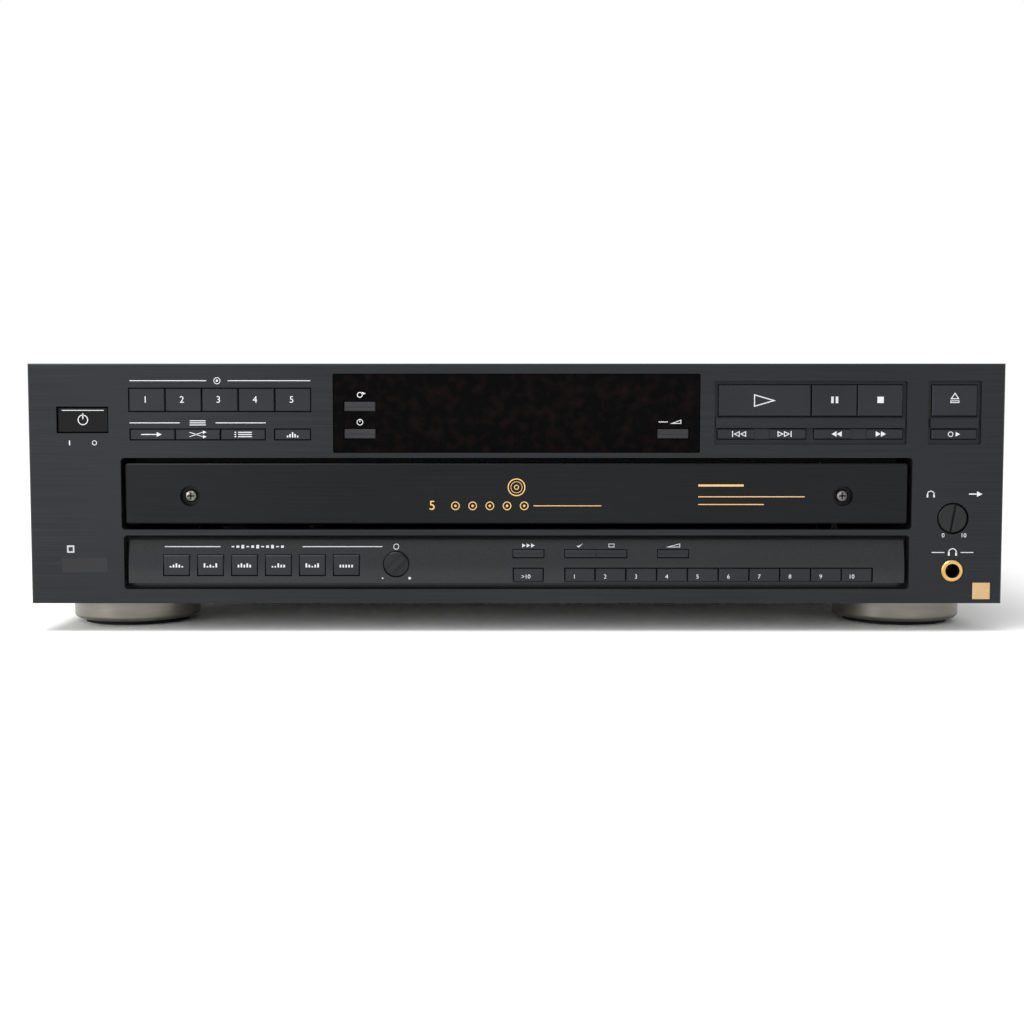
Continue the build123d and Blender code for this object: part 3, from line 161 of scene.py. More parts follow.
# %% Brushed black aluminium
def brushed_aluminium(name, dark, light, roughness, line_mm=0.35, length_mm=60.0):
    """Black anodised sheet with brush lines along X."""
    material, tree, shader, place = start_material(name, roughness, metallic=0.55)
    scale = [1 / (length_mm * MM), 1 / (line_mm * MM), 1 / (line_mm * MM)]
    lines = add(tree, "ShaderNodeMapping", {"vector_type": "POINT", "Scale": scale}, Vector=place)
    fine = {"Scale": 1.0, "Detail": 4.0, "Roughness": 0.7}
    grain = add(tree, "ShaderNodeTexNoise", fine, Vector=lines.outputs["Vector"])
    cloud = add(tree, "ShaderNodeTexNoise", {"Scale": 9.0, "Detail": 2.0}, Vector=place)
    mixed = add(
        tree, "ShaderNodeMix", {"data_type": "FLOAT", "Factor": 0.25},
        at2=grain.outputs["Fac"], at3=cloud.outputs["Fac"],
    )
    colour = ramp(tree, mixed.outputs[0], [(0.3, dark), (0.7, light)])
    tree.links.new(colour, shader.inputs["Base Color"])
    bump(tree, shader, grain.outputs["Fac"], 0.02, 0.35)
    return material


fascia_metal = brushed_aluminium("black_brushed_aluminium", "#1b1c1e", "#2d2e31", 0.40)
dress(["front_panel"], fascia_metal)
drawer_metal = brushed_aluminium("drawer_brushed_aluminium", "#0e0f11", "#1c1d1f", 0.36)
dress(["drawer_front"], drawer_metal)

# %% [markdown]
# ## Moulded plastics
#
# Keys, knobs, tray and frames are injection-moulded ABS or acetal. A mould is spark-eroded, so the
# skin carries a fine even grain of about a quarter of a millimetre, and it has slow blotches where
# the melt cooled unevenly. One function makes them all, from a colour pair, a roughness and the
# grain's real size. The keys are painted in a dark blue-grey that is a little glossier.


# %% Moulded plastics
def moulded_plastic(name, dark, light, roughness, grain_mm=0.25, relief_mm=0.015, ior=1.53, **coat):
    """Injection-moulded plastic with a spark-eroded grain."""
    material, tree, shader, place = start_material(name, roughness, ior=ior, **coat)
    grain = add(tree, "ShaderNodeTexNoise", {"Scale": 1 / (grain_mm * MM), "Detail": 2.0}, Vector=place)
    cloud = add(tree, "ShaderNodeTexNoise", {"Scale": 25.0, "Detail": 3.0}, Vector=place)
    colour = ramp(tree, cloud.outputs["Fac"], [(0.3, dark), (0.7, light)])
    tree.links.new(colour, shader.inputs["Base Color"])
    limits = {"To Min": roughness - 0.05, "To Max": roughness + 0.06}
    spread = add(tree, "ShaderNodeMapRange", limits, Value=cloud.outputs["Fac"])
    tree.links.new(spread.outputs["Result"], shader.inputs["Roughness"])
    bump(tree, shader, grain.outputs["Fac"], relief_mm, 0.4)
    return material


key_paint = moulded_plastic("key_painted_abs", "#15161a", "#1d1e23", 0.36)
display_key_paint = moulded_plastic("display_key_abs", "#1f1f21", "#28282a", 0.42)
knob_paint = moulded_plastic("knob_painted_abs", "#101113", "#17181a", 0.38)
power_paint = moulded_plastic("power_button_abs", "#070709", "#0b0b0d", 0.30, sheen=0.15)
tray_plastic = moulded_plastic("tray_black_abs", "#1b1b1d", "#242427", 0.5, grain_mm=0.6, relief_mm=0.03)
frame_plastic = moulded_plastic("frame_black_abs", "#232325", "#2c2c2e", 0.55, grain_mm=0.5, relief_mm=0.03)
gear_plastic = moulded_plastic("gear_acetal", "#1b1b1d", "#252528", 0.38, ior=1.48)
socket_plastic = moulded_plastic("socket_abs", "#151516", "#1d1d1f", 0.45)

display_keys = ["repeat_key", "time_key", "edit_key"]
knobs = ["level_knob", "effect_knob"]
key_nodes = [n for n in nodes if "_key" in n or n.endswith("_rocker")]
dress([n for n in key_nodes if n not in display_keys], key_paint)
dress(display_keys, display_key_paint)
dress(knobs, knob_paint)
dress(["power_button"], power_paint)
dress(["drawer_tray", "carousel_table"], tray_plastic)
dress(["mechanism_frame", "pickup_base", "disc_spindle", "clamp_puck"], frame_plastic)
dress(["loading_gear", "loading_pulley", "lift_cam", "table_pinion"], gear_plastic)
dress(["rear_sockets"], socket_plastic)

# %% [markdown]
# ## The control strip
#
# The strip under the drawer is a curved moulding with a metallic grey lacquer. Lacquer with fine
# aluminium flake is half way between plastic and metal: it catches the light along the upper edge,
# where the surface turns up, and falls off towards the dark belly. A clear coat over it gives the
# soft highlight, and a fine noise stands for the flake.


# %% The control strip
def metallic_lacquer(name, dark, light, roughness, metallic, flake_mm=0.4):
    """Metallic paint on a moulding, under a clear coat."""
    material, tree, shader, place = start_material(
        name, roughness, metallic=metallic, Coat_Weight=0.45, Coat_Roughness=0.22
    )
    flake = add(tree, "ShaderNodeTexVoronoi", {"Scale": 1 / (flake_mm * MM)}, Vector=place)
    colour = ramp(tree, flake.outputs["Color"], [(0.0, dark), (1.0, light)])
    tree.links.new(colour, shader.inputs["Base Color"])
    bump(tree, shader, flake.outputs["Distance"], 0.006, 0.25)
    return material


dress(["control_strip"], metallic_lacquer("strip_lacquer", "#17181b", "#212226", 0.34, 0.6))

# %% [markdown]
# ## The display window
#
# The pane is smoked acrylic, so dark that only a faint reddish ghost of the tube shows. It is a
# smooth dielectric, so its look is almost all reflection. The darkness is in the base colour, and
# the ghost is a fine warm mottle in it.

# %% The display window
glass, tree, shader, place = start_material("smoked_acrylic", 0.07, ior=1.49, sheen=0.04)
cells = add(tree, "ShaderNodeTexNoise", {"Scale": 220.0, "Detail": 3.0}, Vector=place)
tint = ramp(tree, cells.outputs["Fac"], [(0.45, "#030303"), (0.80, "#12090a")])
tree.links.new(tint, shader.inputs["Base Color"])
waves = add(tree, "ShaderNodeTexNoise", {"Scale": 12.0, "Detail": 1.0}, Vector=place)
bump(tree, shader, waves.outputs["Fac"], 0.02, 0.1)
dress(["display_window"], glass)

# %% [markdown]
# ## Sheet steel
#
# The cover and the rear panel are steel sheet with a black texture paint, whose fine orange-peel
# grain is a little under a millimetre wide. The pan is zinc plated: grey, with the crystal patches, or
# spangle, that zinc leaves when it sets, a few millimetres across.

# %% Sheet steel
cover_paint = moulded_plastic(
    "black_texture_paint", "#1a1a1c", "#222224", 0.55, grain_mm=0.8, relief_mm=0.06
)
dress(["top_cover", "rear_panel"], cover_paint)


def plated_steel(name, dark, light, roughness, patch_mm):
    """Zinc or nickel plated steel, with slightly different crystal patches."""
    material, tree, shader, place = start_material(name, roughness, metallic=1.0)
    spangle = add(tree, "ShaderNodeTexVoronoi", {"Scale": 1 / (patch_mm * MM)}, Vector=place)
    haze = add(tree, "ShaderNodeTexNoise", {"Scale": 60.0, "Detail": 4.0}, Vector=place)
    both = add(
        tree, "ShaderNodeMix", {"data_type": "FLOAT", "Factor": 0.5},
        at2=spangle.outputs["Color"], at3=haze.outputs["Fac"],
    )
    colour = ramp(tree, both.outputs[0], [(0.25, dark), (0.75, light)])
    tree.links.new(colour, shader.inputs["Base Color"])
    bump(tree, shader, haze.outputs["Fac"], 0.01, 0.2)
    return material


dress(["chassis_pan", "clamp_bridge"], plated_steel("zinc_plated_steel", "#9b9c9a", "#b9bab8", 0.38, 6.0))
nickel = plated_steel("nickel_plated_can", "#9a9a98", "#b2b2b0", 0.28, 9.0)
dress(["loading_motor", "table_motor", "spindle_motor_and_rods"], nickel)
dress(["pickup_sled"], plated_steel("die_cast_alloy", "#8f9092", "#a5a6a8", 0.45, 1.5))

# %% [markdown]
# ## Feet, ring, belt and boards
#
# A foot is a moulded ring with a smooth warm grey metallic lacquer over a black rubber pad. The
# node is one mesh, so the finish changes with height: rubber below the seam and metal above it.
# The socket's ring is gold plated brass. The boards are green laminate with a darker weave and the
# transformer has varnished iron laminations.

# %% Feet, ring, belt and boards
PAD_TOP = 2.05 * MM
foot, tree, shader, place = start_material("foot_metallic_lacquer", 0.34, metallic=0.8)
split = add(tree, "ShaderNodeSeparateXYZ", None, Vector=place)
above = add(tree, "ShaderNodeMath", {"operation": "GREATER_THAN", "1": PAD_TOP}, at0=split.outputs["Z"])
rings = add(tree, "ShaderNodeMapping", {"Scale": [60.0, 60.0, 1 / (3.0 * MM)]}, Vector=place)
turning = add(tree, "ShaderNodeTexNoise", {"Scale": 1.0, "Detail": 3.0}, Vector=rings.outputs["Vector"])
metal = ramp(tree, turning.outputs["Fac"], [(0.3, "#7a766f"), (0.7, "#858178")])
finish_mix = add(
    tree, "ShaderNodeMix", {"data_type": "RGBA", "6": linear("#161616")}, at0=above.outputs[0], at7=metal
)
tree.links.new(finish_mix.outputs[2], shader.inputs["Base Color"])
metalness = add(tree, "ShaderNodeMath", {"operation": "MULTIPLY", "1": 0.8}, at0=above.outputs[0])
tree.links.new(metalness.outputs[0], shader.inputs["Metallic"])
dullness = add(tree, "ShaderNodeMapRange", {"To Min": 0.8, "To Max": 0.34}, Value=above.outputs[0])
tree.links.new(dullness.outputs["Result"], shader.inputs["Roughness"])
bump(tree, shader, turning.outputs["Fac"], 0.004, 0.2)
dress(["feet"], foot)

dress(["headphone_jack"], plated_steel("gold_plated_brass", "#b98f4c", "#e0b976", 0.25, 3.0))
dress(["loading_belt"], moulded_plastic("drive_belt_rubber", "#141414", "#1c1c1c", 0.75, grain_mm=0.4))
board = moulded_plastic("green_board_laminate", "#1d4a2a", "#2a6038", 0.4, grain_mm=1.2, relief_mm=0.05)
dress(["circuit_boards"], board)
dress(["power_transformer"], plated_steel("varnished_laminations", "#3d3a36", "#544f49", 0.5, 1.0))

# %% [markdown]
# ## What is printed, engraved and inlaid
#
# The printed marks are silk-screened: an ink layer a few hundredths of a millimetre thick. A mark
# is drawn as a flat outline, thickened a little with an extrude, and laid on the face that carries
# it, so it moves with its key. Only plain numbers and the usual transport pictograms are printed.

# %% Ink and inlay finishes
white_ink = moulded_plastic("white_silkscreen_ink", "#b9bbbe", "#c9cbcd", 0.6, grain_mm=0.15)
gold_ink = moulded_plastic("gold_silkscreen_ink", "#c79f5e", "#d9b274", 0.45, grain_mm=0.15)
INK = 0.05 * MM


def new_piece(name, mesh_data, material, body):
    """Links a finished bmesh as an object at the origin that rides on a body."""
    mesh = bpy.data.meshes.new(name)
    bmesh.ops.recalc_face_normals(mesh_data, faces=mesh_data.faces[:])
    mesh_data.to_mesh(mesh)
    mesh_data.free()
    piece = bpy.data.objects.new(name, mesh)
    bpy.context.scene.collection.objects.link(piece)
    mesh.materials.append(material)
    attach(piece, body)
    return piece


def polygon(mesh_data, points, y, thickness=INK, outline=0.0):
    """A flat shape from (x, z) corners in mm, with its face at y and a little thickness."""
    corners = [mesh_data.verts.new((x * MM, y, z * MM)) for x, z in points]
    face = mesh_data.faces.new(corners)
    faces = [face]
    if outline:
        mesh_data.normal_update()
        ring = bmesh.ops.inset_region(
            mesh_data, faces=[face], thickness=outline * MM, use_boundary=True, use_even_offset=True
        )
        faces = ring["faces"]
        bmesh.ops.delete(mesh_data, geom=[face], context="FACES")
    raised = bmesh.ops.extrude_face_region(mesh_data, geom=faces)
    moved = [v for v in raised["geom"] if isinstance(v, bmesh.types.BMVert)]
    bmesh.ops.translate(mesh_data, verts=moved, vec=(0, -thickness, 0))


def rectangle(x, z, w, h):
    """Corners of a rectangle about its centre."""
    return [(x - w / 2, z - h / 2), (x + w / 2, z - h / 2), (x + w / 2, z + h / 2), (x - w / 2, z + h / 2)]


def circle(x, z, r, sides=28, start=0.0, turn=360.0):
    """Corners round a circle or, with a smaller turn, along an arc."""
    angles = [math.radians(start + turn * i / sides) for i in range(sides)]
    return [(x + r * math.cos(a), z + r * math.sin(a)) for a in angles]


def arrow(x, z, w, h, way=1):
    """Corners of a triangle that points along +X or, with way -1, along -X."""
    return [(x - way * w / 2, z - h / 2), (x + way * w / 2, z), (x - way * w / 2, z + h / 2)]


def face_y(node):
    """The front of a node, where its print lies."""
    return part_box(node)[0].y


def centre(node):
    """x and z of a node's middle, in millimetres."""
    low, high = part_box(node)
    return (low.x + high.x) / 2 / MM, (low.z + high.z) / 2 / MM


SIZE_TO_FIGURE = 1.38  # the font's size over the height of its figures


def text_into(mesh_data, words, x, z, height, y):
    """Adds plain figures, as a thin mesh, centred at x and z in mm."""
    curve = bpy.data.curves.new("figures", "FONT")
    curve.body = words
    curve.size = height * MM * SIZE_TO_FIGURE
    curve.extrude = INK / 2
    curve.align_x = "CENTER"
    curve.align_y = "CENTER"
    holder = bpy.data.objects.new("figures", curve)
    bpy.context.scene.collection.objects.link(holder)
    mesh = bpy.data.meshes.new_from_object(holder.evaluated_get(bpy.context.evaluated_depsgraph_get()))
    mesh.transform(Matrix.Translation((x * MM, y - INK / 2, z * MM)) @ Matrix.Rotation(math.pi / 2, 4, "X"))
    mesh_data.from_mesh(mesh)
    bpy.data.objects.remove(holder)
    bpy.data.meshes.remove(mesh)

# %% [markdown]
# ## Figures and pictograms on the keys
#
# Every mark sits on its own key's face and rides with it, so a pressed key takes its print along.
# The transport keys have the usual signs: an outlined triangle, two bars, a square, double arrows
# against a bar, and the tray-out sign. The five disc keys and the number keys have plain numbers.


# %% Figures and pictograms on the keys
def mark(name, node, shapes, material=white_ink, words=()):
    """Prints outlines and figures on a node's face. A shape is (corners, outline width or 0)."""
    y = face_y(node)
    ink = bmesh.new()
    for corners, outline in shapes:
        polygon(ink, corners, y, outline=outline)
    for word, x, z, height in words:
        text_into(ink, word, x, z, height, y)
    return new_piece(name, ink, material, nodes[node]["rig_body"])


for number in range(1, 6):
    key = f"disc_key_{number}"
    x, z = centre(key)
    mark(f"{key}_figure", key, [], words=[(str(number), x - 0.6, z, 3.0)])

x, z = centre("play_key")
mark("play_sign", "play_key", [(arrow(x, z, 9.6, 5.6), 0.45)])
x, z = centre("pause_key")
mark("pause_sign", "pause_key", [(rectangle(x + side, z + 0.3, 1.1, 2.9), 0) for side in (-1, 1)])
x, z = centre("stop_key")
mark("stop_sign", "stop_key", [(rectangle(x, z + 0.3, 2.8, 2.8), 0)])
x, z = centre("open_close_key")
mark(
    "open_close_sign", "open_close_key",
    [([(x - 2.0, z + 0.6), (x + 2.0, z + 0.6), (x, z + 3.6)], 0.4), (rectangle(x, z - 0.5, 4.0, 1.1), 0.35)],
)
x, z = centre("disc_skip_key")
mark("disc_skip_sign", "disc_skip_key", [(circle(x - 1.6, z, 1.2), 0.35), (arrow(x + 1.6, z, 2.0, 2.0), 0)])

x, z = centre("track_skip_rocker")
skip_left = [(rectangle(x - 12.9, z, 0.4, 2.6), 0)]
skip_left += [(arrow(x - 11.1, z, 2.7, 2.6, -1), 0.35), (arrow(x - 8.3, z, 2.7, 2.6, -1), 0.35)]
skip_right = [(rectangle(x + 12.9, z, 0.4, 2.6), 0)]
skip_right += [(arrow(x + 11.1, z, 2.7, 2.6), 0.35), (arrow(x + 8.3, z, 2.7, 2.6), 0.35)]
mark("track_skip_signs", "track_skip_rocker", skip_left + skip_right)
x, z = centre("search_rocker")
search = [(arrow(x + way * step, z, 2.2, 2.4, way), 0) for way in (-1, 1) for step in (8.6, 10.9)]
mark("search_signs", "search_rocker", search)

x, z = centre("power_button")
power = [(circle(x, z, 2.3), 0.4), (rectangle(x, z + 1.6, 0.45, 2.6), 0)]
mark("power_sign", "power_button", power + [(rectangle(x, z + 4.2, 18.5, 0.35), 0)])

numbers = "track_number_keys"
NUMBER_FIRST = 28.1
NUMBER_PITCH = 13.67
low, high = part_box(numbers)
key_z = high.z / MM - 5.4
figures = [(">10", low.x / MM + 5.6, key_z + 1.2, 1.9)]
figures += [(str(n + 1), NUMBER_FIRST + n * NUMBER_PITCH - 2.4, key_z + 1.2, 1.9) for n in range(10)]
mark("track_figures", numbers, [], words=figures)

# %% [markdown]
# ## Small signs on the mode and sound keys
#
# These keys carry short pictograms in the same line weight: an arrow for straight play, crossed
# bars for random order, a list for a program, and on the six sound keys a row of level bars that
# rises and falls differently on each.

# %% Small signs on the mode and sound keys
x, z = centre("play_mode_key_1")
straight = [(rectangle(x - 1.5, z, 7.0, 0.4), 0), (arrow(x + 3.0, z, 2.2, 2.0), 0)]
mark("straight_sign", "play_mode_key_1", straight)
x, z = centre("play_mode_key_2")
crossed = []
for way in (-1, 1):
    slant = [(x - 4, z - way), (x - 3.2, z - way), (x + 2.6, z + way), (x + 1.8, z + way)]
    crossed += [(slant, 0), (arrow(x + 3.1, z + way, 1.6, 1.4), 0)]
mark("random_sign", "play_mode_key_2", crossed)
x, z = centre("play_mode_key_3")
listed = [(rectangle(x + 0.8, z + 0.95 * k, 6.0, 0.4), 0) for k in (-1, 0, 1)]
listed += [(rectangle(x - 3.4, z + 0.95 * k, 0.7, 0.5), 0) for k in (-1, 0, 1)]
mark("list_sign", "play_mode_key_3", listed)
x, z = centre("peak_search_key")
peaks = [
    rectangle(x + 1.1 * k, z - 0.2 - 0.35 * abs(k), 0.6, 2.2 - 0.7 * abs(k)) for k in (-2, -1, 0, 1, 2)
]
mark("peak_sign", "peak_search_key", [(peak, 0) for peak in peaks])

LEVELS = ["12321", "31213", "23232", "11322", "32123", "22222"]
for n, heights in enumerate(LEVELS):
    key = f"sound_field_key_{n + 1}"
    x, z = centre(key)
    tall = [0.6 * int(h) for h in heights]
    bars = [rectangle(x + 1.3 * (k - 2), z - 0.9 + h / 2, 0.7, h) for k, h in enumerate(tall)]
    mark(f"{key}_sign", key, [(bar, 0) for bar in bars])

# %% [markdown]
# ## Rules and labels on the panel
#
# Fine white rules gather the keys in groups, each broken in the middle by a small sign. They lie on
# the panel itself, and so do the scale marks round the two knobs. The positions are real distances
# from the middle of the panel and from the floor, like every other size here.

# %% Rules and labels on the panel
panel_y = face_y("front_panel")
RULE = 0.35
rules = []
upper = [(-170.1, -136.4, 111.5), (-127.0, -90.7, 111.5)]
lower = [(-170.4, -148.4, 93.0), (-132.5, -110.5, 93.0)]
for left, right, z in upper + lower:
    rules.append((rectangle((left + right) / 2, z, right - left, RULE), 0))
disc_sign = [(circle(-131.7, 111.5, 1.5), 0.3), (circle(-131.7, 111.5, 0.5), 0)]
order_sign = [(rectangle(-140.4, 93.0 + k, 7.0, 0.35), 0) for k in (-0.9, 0.0, 0.9)]
power_marks = [(rectangle(-197.0, 84.2, 0.5, 2.0), 0), (circle(-186.0, 84.2, 1.1), 0.3)]
mark("panel_rules", "front_panel", rules + disc_sign + order_sign + power_marks)

x, z = centre("level_knob")
scale = [("0", x - 4.2, z - 7.6, 1.9), ("10", x + 4.8, z - 7.6, 1.9)]
mark("level_scale", "front_panel", [], words=scale)


def headphone_sign(x, z, size):
    """A pair of headphones: a half ring over two pads."""
    outer = circle(x, z, size, sides=18, turn=190.0, start=-5.0)
    inner = circle(x, z, size * 0.78, sides=18, turn=190.0, start=-5.0)
    band = [([outer[i], outer[i + 1], inner[i + 1], inner[i]], 0) for i in range(17)]
    pads = [rectangle(x + side * size * 0.85, z - size * 0.35, size * 0.42, size * 0.8) for side in (-1, 1)]
    return band + [(pad, 0) for pad in pads]


signs = headphone_sign(x - 10.0, z + 10.6, 1.7)
signs += [(rectangle(x + 8.6, z + 10.8, 3.4, 0.5), 0), (arrow(x + 11.6, z + 10.8, 2.4, 2.4), 0)]
jack_x, jack_z = centre("headphone_jack")
signs += headphone_sign(jack_x, jack_z + 8.2, 1.9)
signs += [(rectangle(jack_x + side * 6.4, jack_z + 8.2, 5.6, RULE), 0) for side in (-1, 1)]
mark("socket_signs", "front_panel", signs)

for key, shapes in (
    ("repeat_key", [(circle(-69.0, 105.3, 1.25), 0.35), (arrow(-67.2, 105.9, 1.6, 1.4), 0)]),
    ("time_key", [(circle(-69.0, 93.3, 1.4), 0.3), (rectangle(-69.0, 93.8, 0.3, 1.0), 0)]),
    ("edit_key", [(rectangle(64.6, 93.4, 4.0, 0.35), 0), ([(67.6, 92.6), (72.6, 92.6), (72.6, 94.4)], 0.3)]),
):
    mark(f"{key}_label", "display_window", shapes)

# %% [markdown]
# ## Print on the strip
#
# The strip is curved, so a flat mark would float over it or sink in. Its marks are drawn on the
# plane first, then each vertex is pushed back onto the strip's real curve, found by shooting a ray
# at the strip's own mesh.

# %% Print on the strip
strip_faces = BVHTree.FromObject(nodes["control_strip"], bpy.context.evaluated_depsgraph_get())


def lay_on_strip(piece):
    """Pushes a flat print back onto the curved strip."""
    front_most = min(v.co.y for v in piece.data.vertices)
    for vertex in piece.data.vertices:
        start = Vector((vertex.co.x, -1.0, vertex.co.z))
        hit = strip_faces.ray_cast(start, Vector((0, 1, 0)))[0]
        if hit is not None and hit.y < panel_y + 6 * MM:
            vertex.co.y += hit.y - front_most - INK


knob_x, knob_z = centre("effect_knob")
strip_shapes = [
    (rectangle(-143.9, 38.1, 24.7, RULE), 0), (rectangle(-77.3, 38.1, 35.4, RULE), 0),
]
for side, size in ((-1, 0.35), (1, 0.6)):
    strip_shapes.append((circle(knob_x + 6.0 * side, knob_z - 6.2, size, sides=10), 0))
strip_shapes += [(rectangle(-126.0 + 2.2 * k, 38.1, 1.2, 0.5 + 0.5 * (k % 3)), 0) for k in range(11)]
strip_shapes += [(circle(-53.4, 38.1, 1.3, start=20, turn=320), 0.3)]
for node, kind in (("music_scan_key", 0), ("fader_key", 1)):
    x, z = centre(node)
    if kind == 0:
        strip_shapes += [(arrow(x + 2.0 * k, z + 3.6, 1.6, 1.7), 0) for k in (-1, 0, 1)]
    else:
        strip_shapes += [([(x - 3.2, z + 2.8), (x + 3.2, z + 2.8), (x + 3.2, z + 4.5)], 0.28)]
x, z = centre("check_clear_rocker")
tick = [(x - 8.6, z + 3.5), (x - 7.6, z + 2.7), (x - 5.6, z + 4.5), (x - 7.6, z + 3.4)]
strip_shapes += [(tick, 0), (rectangle(x + 7.0, z + 3.6, 2.6, 1.6), 0.28)]
lay_on_strip(mark("strip_signs", "control_strip", strip_shapes))

# %% [markdown]
# ## Gold print on the drawer
#
# A large figure five beside a row of rings, one for each place on the table, and above it a disc
# seen face on. On the right are three plain gold rules of different lengths. All of it rides with
# the drawer.

# %% Gold print on the drawer
DISC_SIGN_Z = 64.6
disc_print = [(circle(0.0, DISC_SIGN_Z, 3.9, sides=48), 0.45), (circle(0.0, DISC_SIGN_Z, 1.1), 0.35)]
disc_print += [(circle(0.0, DISC_SIGN_Z, 2.6, sides=40), 0.25)]
FIVE_Z = 56.4
row = [(circle(-27.0 + 7.6 * k, FIVE_Z, 1.9, sides=32), 0.4) for k in range(5)]
row += [(circle(-27.0 + 7.6 * k, FIVE_Z, 0.55, sides=16), 0) for k in range(5)]
row += [(rectangle(22.5, FIVE_Z, 30.0, 0.35), 0)]
RULES_LEFT = 80.3
lines = [
    (rectangle(RULES_LEFT + long / 2, z, long, high), 0)
    for long, z, high in ((20.0, 65.4, 0.9), (47.0, 60.4, 0.4), (29.0, 57.0, 0.4))
]
mark("drawer_print", "drawer_front", disc_print + row + lines, gold_ink, words=[("5", -37.3, FIVE_Z, 4.2)])

# %% [markdown]
# ## Receiver window, marker and corner plate
#
# The remote receiver sits behind a thin flush window in the lower left corner. Over it is a small
# pale square, and in the lower right corner a plain gilt plate. Each is a bevelled plate made from
# a cube that is scaled to size and bevelled with bmesh.


# %% Receiver window, marker and corner plate
def plate(name, x, z, w, h, y_front, thickness, material, node, edge=0.15):
    """A thin plate with bevelled edges, with its front at y_front."""
    slab = bmesh.new()
    bmesh.ops.create_cube(slab, size=1.0)
    bmesh.ops.scale(slab, vec=(w * MM, thickness * MM, h * MM), verts=slab.verts)
    bmesh.ops.translate(slab, vec=(x * MM, y_front + thickness * MM / 2, z * MM), verts=slab.verts)
    bmesh.ops.bevel(
        slab, geom=slab.edges[:], offset=edge * MM, segments=2, affect="EDGES", profile=0.5, material=-1
    )
    return new_piece(name, slab, material, nodes[node]["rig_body"])


receiver = moulded_plastic("receiver_acrylic", "#1c1c1f", "#222226", 0.12, ior=1.49, relief_mm=0.003)
plate("receiver_window", -191.2, 30.1, 20.3, 6.8, panel_y - 0.1 * MM, 0.3, receiver, "front_panel")
pale_plastic = moulded_plastic("pale_marker_plastic", "#9fa0a6", "#b4b5ba", 0.5)
plate("marker_square", -197.4, 37.2, 3.3, 3.3, panel_y - 0.15 * MM, 0.35, pale_plastic, "front_panel")
plate("marker_core", -197.4, 37.2, 1.9, 1.9, panel_y - 0.25 * MM, 0.3, receiver, "front_panel")
gilt = plated_steel("gilt_plate", "#c6a67a", "#d0b186", 0.42, 4.0)
plate("corner_plate", 206.0, 18.6, 7.8, 7.4, panel_y - 0.4 * MM, 0.6, gilt, "front_panel", edge=0.2)

# %% [markdown]
# ## Screws
#
# The drawer front is held by two cross-head screws in counterbores. A screw head is a lathe
# profile spun full circle. Cutting the cross with a boolean would be heavier than the look needs,
# so it is two crossed dark bars laid on the crown. More screws hold the cover and the rear panel,
# and one dark screw sits in the hub of the table.

# %% Screws
screw_metal = plated_steel("screw_nickel", "#8d8a84", "#b3b0a9", 0.3, 1.2)
dark_metal = plated_steel("screw_dark_nickel", "#65635f", "#86837e", 0.35, 1.2)
dark_recess = moulded_plastic("recess_shadow_black", "#0b0b0c", "#101011", 0.6)


def screw(name, place, axis_turn, radius, body, metal=screw_metal):
    """A pan-head screw: a spun dome and its cross, facing -Y before it is turned."""
    head = bmesh.new()
    profile = [(0, -0.42), (0.45, -0.38), (0.8, -0.22), (1, 0), (1, 0.3)]  # in radii
    verts = [head.verts.new((r * radius * MM, y * radius * MM, 0)) for r, y in profile]
    edges = [head.edges.new(pair) for pair in zip(verts, verts[1:])]
    bmesh.ops.spin(
        head, geom=verts + edges, cent=(0, 0, 0), axis=(0, 1, 0), angle=math.tau, steps=28, use_merge=True
    )
    bmesh.ops.remove_doubles(head, verts=head.verts, dist=1e-7)
    rim = [e for e in head.edges if e.is_boundary]
    bmesh.ops.holes_fill(head, edges=rim, sides=0)
    bmesh.ops.transform(head, matrix=Matrix.Translation(place) @ axis_turn, verts=head.verts)
    new_piece(name, head, metal, body)
    cross = bmesh.new()
    for w, h in ((1.15, 0.26), (0.26, 1.15)):
        polygon(cross, rectangle(0, 0, w * radius, h * radius), -0.43 * radius * MM, thickness=0.02 * MM)
    bmesh.ops.transform(cross, matrix=Matrix.Translation(place) @ axis_turn, verts=cross.verts)
    new_piece(f"{name}_cross", cross, dark_recess, body)


UPRIGHT = Matrix.Identity(4)
drawer_y = face_y("drawer_front")
DRAWER_SCREW_X, DRAWER_SCREW_Z = 144.2, 60.7
DRAWER_SCREW_SUNK = 2.2
for side, name in ((-1, "drawer_screw_left"), (1, "drawer_screw_right")):
    sunk = drawer_y + DRAWER_SCREW_SUNK * MM
    place = Vector((side * DRAWER_SCREW_X * MM, sunk, DRAWER_SCREW_Z * MM))
    screw(name, place, UPRIGHT, 2.8, "drawer", dark_metal)

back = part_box("rear_panel")[1].y
REAR = Matrix.Rotation(math.pi, 4, "Z")
rear_screws = [(x, z) for x in (-205, 0, 205) for z in (108, 24)] + [(-199, 78), (-91, 78)]
for n, (x, z) in enumerate(rear_screws):
    screw(f"rear_screw_{n + 1}", Vector((x * MM, back, z * MM)), REAR, 2.8, "cabinet")
side_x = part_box("top_cover")[1].x
for side in (-1, 1):
    for n, y in enumerate((-110, 120)):
        turn = Matrix.Rotation(side * math.pi / 2, 4, "Z")
        place = Vector((side * side_x, y * MM, 40 * MM))
        screw(f"side_screw_{'left' if side < 0 else 'right'}_{n + 1}", place, turn, 3.6, "cabinet")

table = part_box("carousel_table")
table_x, table_y = (table[0].x + table[1].x) / 2, (table[0].y + table[1].y) / 2
table_top = table[1].z
UPWARDS = Matrix.Rotation(-math.pi / 2, 4, "X")
screw("hub_screw", Vector((table_x, table_y, table_top - 1.2 * MM)), UPWARDS, 3.4, "drawer", dark_metal)

